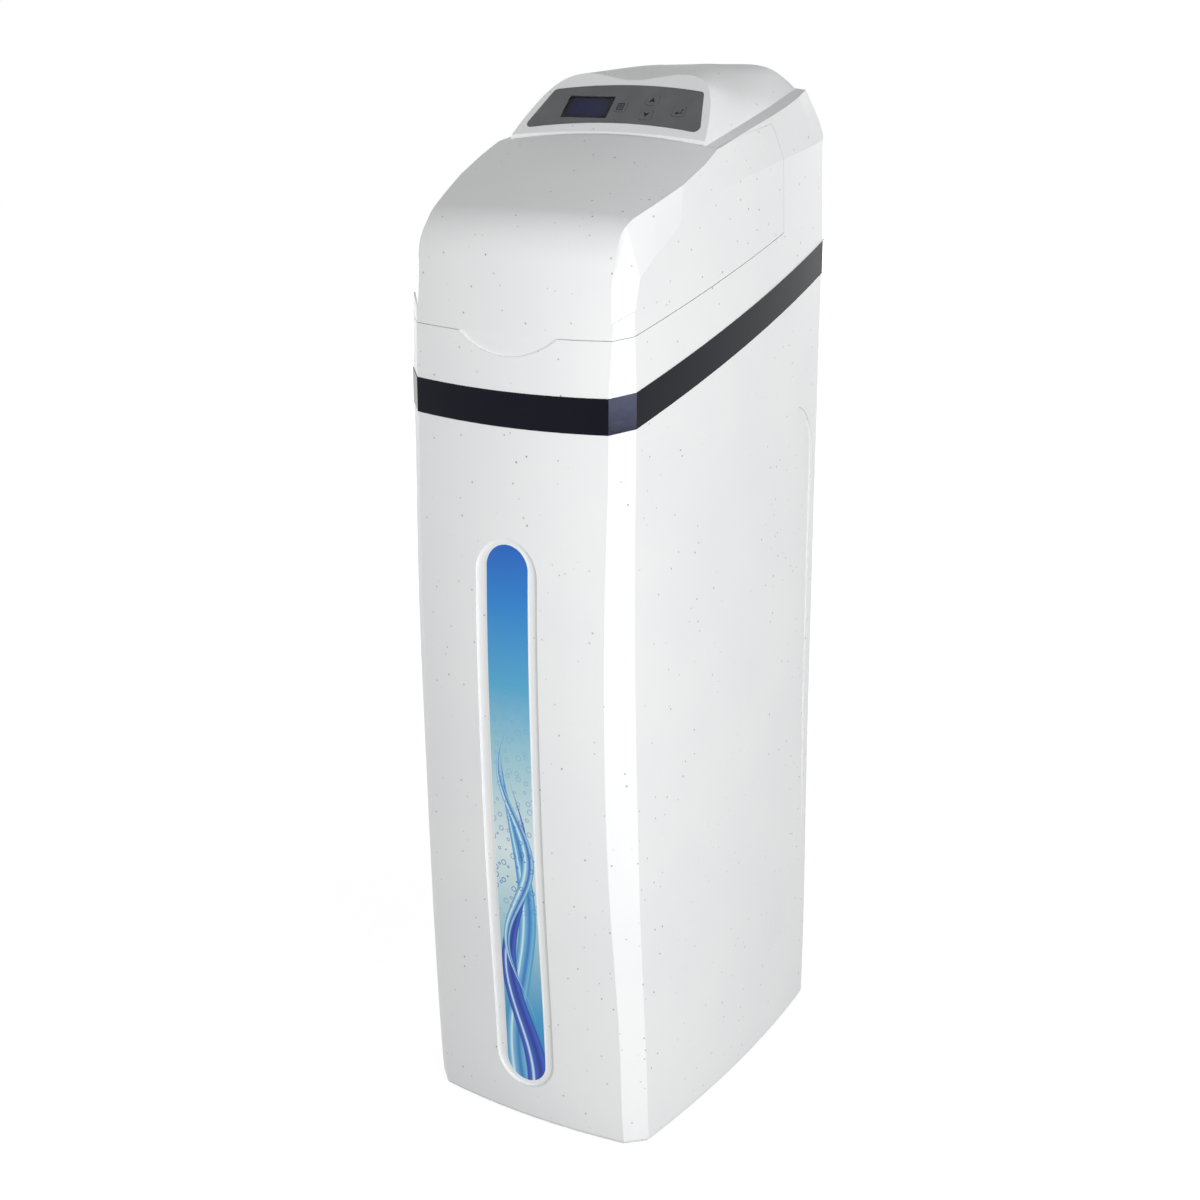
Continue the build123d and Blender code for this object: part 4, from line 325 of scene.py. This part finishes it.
# Moulded polycarbonate, mid grey: a fine matt texture that greys the reflections
def grey_polycarbonate(name="grey_polycarbonate"):
    made, tree, shader, place = new_material(name, Roughness=0.48, IOR=1.45)
    shifting_tone(tree, shader, place, size=30 * MM, low="#525355", high="#5a5b5d")
    grain(tree, shader, place, size=0.9 * MM, depth=0.02 * MM)
    return made


# Clear cast acrylic over the display: colourless and smooth, with reflections as faint as in the photograph
def clear_acrylic():
    made, tree, shader, place = new_material("clear_acrylic", Roughness=0.03, IOR=1.12,
                                             Transmission_Weight=1.0)
    shifting_tone(tree, shader, place, size=40 * MM, low="#f4f6fb", high="#ffffff")
    grain(tree, shader, place, size=20 * MM, depth=0.01 * MM)
    return made


# Liquid crystal display, switched off: a near-black rim round a deep blue field that clouds a little
def resting_display():
    made, tree, shader, place = new_material("resting_display", Roughness=0.35, IOR=1.15)
    low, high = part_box("display_window")
    centre = (low + high) / 2
    half = (high - low) / 2
    axes = add(tree, "ShaderNodeSeparateXYZ", {"Vector": place}).outputs
    inside = []
    for axis, middle, reach in (("X", centre.x, half.x - DISPLAY_SIDE_RIM),
                                ("Z", centre.z, half.z - DISPLAY_TOP_RIM)):
        offset = add(tree, "ShaderNodeMath", {0: axes[axis], 1: middle}, operation="SUBTRACT")
        distance = add(tree, "ShaderNodeMath", {0: offset.outputs[0]}, operation="ABSOLUTE")
        inside.append(add(tree, "ShaderNodeMapRange", {"Value": distance.outputs[0], "From Min": reach,
                                                       "From Max": reach + DISPLAY_BLUR, "To Min": 1.0,
                                                       "To Max": 0.0}).outputs[0])
    field = add(tree, "ShaderNodeMath", {0: inside[0], 1: inside[1]}, operation="MULTIPLY")
    cloud = add(tree, "ShaderNodeTexNoise", {"Vector": place, "Scale": 1 / (15 * MM), "Detail": 1.0})
    tones = add(tree, "ShaderNodeValToRGB", {"Fac": cloud.outputs[0]},
                stops=((0.3, "#10112a"), (0.7, "#17183a")))
    mixed = add(tree, "ShaderNodeMix", {"Factor": field.outputs[0], "A": colour("#050509"),
                                        "B": tones.outputs[0]}, data_type="RGBA")
    tree.links.new(mixed.outputs["Result"], shader.inputs["Base Color"])
    return made


# Glass-fibre circuit board under green solder mask, with paler copper tracks beneath it
def solder_mask():
    made, tree, shader, place = new_material("green_solder_mask", Roughness=0.35, IOR=1.5)
    tracks = add(tree, "ShaderNodeTexBrick", {"Vector": place, "Scale": 1 / TRACK_PATTERN,
                                              "Mortar Size": TRACK_WIDTH, "Color1": colour("#0f5a30"),
                                              "Color2": colour("#12683a"), "Mortar": colour("#3f8f55")})
    tree.links.new(tracks.outputs["Color"], shader.inputs["Base Color"])
    grain(tree, shader, place, size=2 * MM, depth=0.02 * MM)
    return made


# Zinc-plated steel: a bluish grey metal with a fine rolled grain
def zinc_plated_steel(name="zinc_plated_steel", low="#b3b7bb", high="#c6c8c9"):
    made, tree, shader, place = new_material(name, Metallic=1.0, Roughness=0.34)
    shifting_tone(tree, shader, place, size=6 * MM, low=low, high=high)
    rolled = add(tree, "ShaderNodeMapping", {"Vector": place, "Scale": (1.0, 12.0, 1.0)})
    grain(tree, shader, rolled.outputs[0], size=3 * MM, depth=0.02 * MM)
    return made


# Filament-wound glass fibre in polyester resin: crossed windings show through a glossy skin
def wound_fibreglass():
    made, tree, shader, place = new_material("wound_fibreglass", Roughness=0.28, IOR=1.52)
    low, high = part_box("resin_vessel")
    centre = (low + high) / 2
    around = add(tree, "ShaderNodeMapping", {"Vector": place, "Location": (-centre.x, -centre.y, 0.0)})
    axes = add(tree, "ShaderNodeSeparateXYZ", {"Vector": around.outputs[0]}).outputs
    angle = add(tree, "ShaderNodeMath", {0: axes["Y"], 1: axes["X"]}, operation="ARCTAN2")
    tapes = []
    for climb in (WINDING_CLIMB, -WINDING_CLIMB):
        level = add(tree, "ShaderNodeMath", {0: angle.outputs[0], 1: climb, 2: axes["Z"]},
                    operation="MULTIPLY_ADD")
        turns = add(tree, "ShaderNodeMath", {0: level.outputs[0], 1: WINDING_TAPES / climb},
                    operation="MULTIPLY")
        tapes.append(add(tree, "ShaderNodeMath", {0: turns.outputs[0]}, operation="SINE").outputs[0])
    crossed = add(tree, "ShaderNodeMath", {0: tapes[0], 1: tapes[1]}, operation="MAXIMUM")
    fibres = add(tree, "ShaderNodeTexNoise", {"Vector": around.outputs[0], "Scale": 1 / (3 * MM),
                                              "Detail": 4.0})
    weave = add(tree, "ShaderNodeMath", {0: crossed.outputs[0], 1: WINDING_SHARE, 2: fibres.outputs[0]},
                operation="MULTIPLY_ADD")
    tones = add(tree, "ShaderNodeValToRGB", {"Fac": weave.outputs[0]},
                stops=((0.3, "#6f8fa3"), (0.9, "#8fabba")))
    tree.links.new(tones.outputs[0], shader.inputs["Base Color"])
    bump = add(tree, "ShaderNodeBump", {"Height": weave.outputs[0], "Strength": 1.0, "Distance": 0.25 * MM})
    tree.links.new(bump.outputs[0], shader.inputs["Normal"])
    return made


# Glass-filled moulding plastic, black: dull, with a spark-eroded texture
def glass_filled_nylon(name="glass_filled_nylon", rough=0.55):
    made, tree, shader, place = new_material(name, Roughness=rough, IOR=1.53)
    shifting_tone(tree, shader, place, size=18 * MM, low="#1c1c1e", high="#26262a")
    grain(tree, shader, place, size=1.1 * MM, depth=0.05 * MM)
    return made


# Acetal, natural: milky white and slick, with light soaking a little into it
def natural_acetal():
    made, tree, shader, place = new_material("natural_acetal", Roughness=0.3, IOR=1.48,
                                             Subsurface_Weight=0.15, Subsurface_Scale=1.5 * MM)
    shifting_tone(tree, shader, place, size=12 * MM, low="#e3e2da", high="#ecebe5")
    grain(tree, shader, place, size=3 * MM, depth=0.02 * MM)
    return made


# Ion exchange beads: amber grains, drawn at 2.5 mm where real ones are under 1 mm, to show
def resin_beads():
    made, tree, shader, place = new_material("ion_exchange_beads", Roughness=0.4, IOR=1.5)
    beads = add(tree, "ShaderNodeTexVoronoi", {"Vector": place, "Scale": 1 / (2.5 * MM)}).outputs
    tones = add(tree, "ShaderNodeValToRGB", {"Fac": beads["Distance"]},
                stops=((0.1, "#c07a2c"), (0.7, "#5c2f0c")))
    tree.links.new(tones.outputs[0], shader.inputs["Base Color"])
    bump = add(tree, "ShaderNodeBump", {"Height": beads["Distance"], "Strength": 1.0, "Distance": 1.0 * MM},
               invert=True)
    tree.links.new(bump.outputs[0], shader.inputs["Normal"])
    return made


# Extruded polyethylene, milky: faint upright lines from the die
def milky_polyethylene(name="milky_polyethylene", low="#dfe3e4", high="#e9ecec"):
    made, tree, shader, place = new_material(name, Roughness=0.38, IOR=1.51)
    shifting_tone(tree, shader, place, size=35 * MM, low=low, high=high)
    drawn = add(tree, "ShaderNodeMapping", {"Vector": place, "Scale": (1.0, 1.0, 0.04)})
    grain(tree, shader, drawn.outputs[0], size=1.5 * MM, depth=0.03 * MM)
    return made


# Pad-printed ink, near black: flat and slightly rough, as on membrane keys
def printed_ink():
    made, tree, shader, place = new_material("printed_ink", Roughness=0.6, IOR=1.25)
    shifting_tone(tree, shader, place, size=2 * MM, low="#0d0d0f", high="#151517")
    return made


FINISHES = {
    "white_plastic": speckled_polyethylene(),
    "band_plastic": gloss_black_abs(),
    "strip_blue": printed_film(),
    "panel_grey": grey_polycarbonate(),
    "key_grey": grey_polycarbonate("grey_keypad_polycarbonate"),
    "window_clear": clear_acrylic(),
    "display_glass": resting_display(),
    "board_green": solder_mask(),
    "steel": zinc_plated_steel(),
    "vessel_fibreglass": wound_fibreglass(),
    "black_plastic": glass_filled_nylon(),
    "acetal": natural_acetal(),
    "resin": resin_beads(),
    "well_plastic": milky_polyethylene(),
    "valve_plastic": glass_filled_nylon("glass_filled_valve_plastic", 0.45),
    "motor_zinc": zinc_plated_steel("zinc_plated_motor_can", "#a9adb0", "#bbbdbe"),
    "line_plastic": milky_polyethylene("milky_line_polyethylene", "#cfd6d8", "#dde2e3"),
}
INK = printed_ink()

for node, thing in frame["nodes"].items():
    thing.data.materials.clear()
    thing.data.materials.append(FINISHES[SLOTS[node]])


def new_piece(name, build, finish):
    """An object with the given finish from a bmesh, which is freed"""
    mesh = bpy.data.meshes.new(name)
    build.to_mesh(mesh)
    build.free()
    mesh.materials.append(finish)
    piece = bpy.data.objects.new(name, mesh)
    bpy.context.scene.collection.objects.link(piece)
    return piece


def key_symbol(node, body, draw):
    """A printed symbol in the middle of a key's own top face, which rides with the key"""
    corners = [vertex.co for vertex in frame["nodes"][node].data.vertices]
    top = max(corner.dot(PANEL_OUT) for corner in corners)
    face = [corner for corner in corners if corner.dot(PANEL_OUT) > top - INK_THICKNESS]
    across = [corner.x for corner in face]
    along = [corner.dot(PANEL_UP) for corner in face]
    middle = Vector((min(across) + max(across), 0, 0)) / 2
    middle += PANEL_UP * (min(along) + max(along)) / 2 + PANEL_OUT * (top + INK_THICKNESS / 2)
    build = bmesh.new()
    draw(build)
    onto_key = Matrix.Translation(middle) @ Matrix.Rotation(PANEL_TURN, 4, "X")
    bmesh.ops.transform(build, verts=build.verts, matrix=onto_key)
    symbol = new_piece(node + "_symbol", build, INK)
    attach(symbol, body)


def bar(build, low_x, high_x, low_y, high_y):
    """A flat stroke between two corners"""
    size = Vector((high_x - low_x, high_y - low_y, INK_THICKNESS))
    place = Vector((low_x + high_x, low_y + high_y, 0)) / 2
    bmesh.ops.create_cube(build, size=1, matrix=Matrix.LocRotScale(place, None, size))


def arrow(build, turn, width, height, notch, place=(0, 0, 0)):
    """A notched arrowhead, pointing up the panel until turned"""
    made = bmesh.ops.create_cone(build, cap_ends=True, segments=4, radius1=1, radius2=1, depth=INK_THICKNESS)
    # Its corners start on the axes: those at the sides become the feet, and the others the tip and the notch
    for corner in made["verts"]:
        if abs(corner.co.x) > 0.5:
            corner.co = Vector((corner.co.x * width / 2, -height / 2, corner.co.z))
        else:
            corner.co.y = height / 2 if corner.co.y > 0 else notch - height / 2
    placed = Matrix.Translation(place) @ Matrix.Rotation(turn, 4, "Z")
    bmesh.ops.transform(build, verts=made["verts"], matrix=placed)


def list_symbol(build):
    """A page with three lines on it"""
    x, y = PAGE_WIDTH / 2, PAGE_HEIGHT / 2
    bar(build, -x, x, y - STROKE, y)
    bar(build, -x, x, -y, STROKE - y)
    bar(build, -x, STROKE - x, STROKE - y, y - STROKE)
    bar(build, x - STROKE, x, STROKE - y, y - STROKE)
    for level in (-PAGE_LINE_STEP, 0, PAGE_LINE_STEP):
        bar(build, 2 * STROKE - x, x - 2 * STROKE, level - STROKE / 2, level + STROKE / 2)


def up_symbol(build):
    """An arrowhead that points up the panel"""
    arrow(build, 0, ARROW_WIDTH, ARROW_HEIGHT, ARROW_NOTCH)


def down_symbol(build):
    """The same arrowhead the other way round"""
    arrow(build, pi, ARROW_WIDTH, ARROW_HEIGHT, ARROW_NOTCH)


def return_symbol(build):
    """A line that comes down and turns back to an arrowhead"""
    right, foot = RETURN_WIDTH / 2, -RETURN_HEIGHT / 2
    bar(build, right - STROKE, right, foot + STROKE, -foot)
    bar(build, RETURN_HEAD - right, right, foot, foot + STROKE)
    arrow(build, pi / 2, RETURN_HEAD, RETURN_HEAD, 0, (RETURN_HEAD / 2 - right, foot + STROKE / 2, 0))


for node, body, draw in (("key_menu", "menu_key", list_symbol),
                         ("key_up", "up_key", up_symbol),
                         ("key_down", "down_key", down_symbol),
                         ("key_confirm", "confirm_key", return_symbol)):
    key_symbol(node, body, draw)


def pipe_thread(name, node, pitch, length):
    """A helical thread round the rear end of a fitting, on the mount of the same name"""
    centre_x, _, centre_z = MOUNTS[name]["pos_m"]
    radius = MOUNTS[name]["dims"]["r_mm"] * MM
    front_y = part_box(node)[1].y - length
    build = bmesh.new()
    # The ridge's section is a triangle that stands on the spigot
    ridge = bmesh.ops.create_circle(build, segments=3, radius=THREAD_DEPTH)["verts"]
    start = Matrix.Translation((centre_x + radius, front_y, centre_z))
    bmesh.ops.transform(build, verts=ridge, matrix=start @ Matrix.Rotation(-pi / 2, 4, "Z"))
    turns = (length - THREAD_END) / pitch
    bmesh.ops.spin(build, geom=build.verts[:] + build.edges[:], cent=(centre_x, front_y, centre_z),
                   axis=(0, 1, 0), dvec=(0, pitch / THREAD_STEPS, 0), angle=2 * pi * turns,
                   steps=round(turns * THREAD_STEPS))
    bmesh.ops.holes_fill(build, edges=[edge for edge in build.edges if edge.is_boundary])
    bmesh.ops.recalc_face_normals(build, faces=build.faces)
    thread = new_piece(name, build, FINISHES[SLOTS[node]])
    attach(thread, "housing")


for name, node, pitch, length in (("inlet_thread", "inlet_adapter", PORT_PITCH, PORT_THREAD),
                                  ("outlet_thread", "outlet_adapter", PORT_PITCH, PORT_THREAD),
                                  ("drain_thread", "drain_outlet", DRAIN_PITCH, DRAIN_THREAD)):
    pipe_thread(name, node, pitch, length)

# Camera and lamps
camera_data = bpy.data.cameras.new("camera")
camera_data.lens = CAMERA_LENS
camera_data.sensor_width = CAMERA_SENSOR
camera = bpy.data.objects.new("camera", camera_data)
camera.location = CAMERA_PLACE
camera.rotation_euler = (radians(90 - CAMERA_PITCH), 0, radians(CAMERA_TURN))
bpy.context.scene.collection.objects.link(camera)
bpy.context.scene.camera = camera

for name, place, width, power in LAMPS:
    lamp_data = bpy.data.lights.new(name, "AREA")
    lamp_data.shape = "DISK"
    lamp_data.size = width
    lamp_data.energy = power
    lamp = bpy.data.objects.new(name, lamp_data)
    lamp.location = place
    lamp.rotation_euler = (LAMP_TARGET - Vector(place)).to_track_quat("-Z", "Y").to_euler()
    bpy.context.scene.collection.objects.link(lamp)


def seen_directly(tree):
    """One where a ray comes from the camera, or by a reflection or through glass"""
    path = add(tree, "ShaderNodeLightPath")
    first = add(tree, "ShaderNodeMath", {0: path.outputs["Is Camera Ray"], 1: path.outputs["Is Glossy Ray"]},
                operation="MAXIMUM")
    return add(tree, "ShaderNodeMath", {0: first.outputs[0], 1: path.outputs["Is Transmission Ray"]},
               operation="MAXIMUM").outputs[0]


# The room: white where it is seen directly, and softer where it lights the object
world = bpy.data.worlds.new("studio")
bpy.context.scene.world = world
world.use_nodes = True
tree = world.node_tree
light = add(tree, "ShaderNodeMix", {"Factor": seen_directly(tree), "A": ROOM_LIGHT, "B": 1.0},
            data_type="FLOAT")
background = tree.nodes["Background"]
background.inputs["Color"].default_value = colour("#ffffff")
tree.links.new(light.outputs["Result"], background.inputs["Strength"])


# Matt studio paint, mid grey to the lamps: it glows white where seen directly, and less near the object
def floor_paint():
    made, tree, shader, place = new_material("studio_floor_paint", Roughness=0.9, Specular_IOR_Level=0.0,
                                             Base_Color=colour("#898989"))
    glow = add(tree, "ShaderNodeEmission", {"Color": colour("#ffffff")})
    away = add(tree, "ShaderNodeVectorMath", {0: place}, operation="LENGTH")
    paler = add(tree, "ShaderNodeMapRange", {"Value": away.outputs["Value"], "From Min": FLOOR_NEAR,
                                             "From Max": FLOOR_FAR, "To Min": FLOOR_NEAR_GLOW, "To Max": 1.0})
    strength = add(tree, "ShaderNodeMath", {0: seen_directly(tree), 1: paler.outputs[0]},
                   operation="MULTIPLY")
    tree.links.new(strength.outputs[0], glow.inputs["Strength"])
    both = add(tree, "ShaderNodeAddShader", {0: shader.outputs[0], 1: glow.outputs[0]})
    tree.links.new(both.outputs[0], tree.nodes["Material Output"].inputs["Surface"])
    return made


build = bmesh.new()
bmesh.ops.create_circle(build, cap_ends=True, segments=64, radius=FLOOR_REACH)
floor = new_piece("studio_floor", build, floor_paint())

bpy.context.scene.view_settings.view_transform = "Standard"
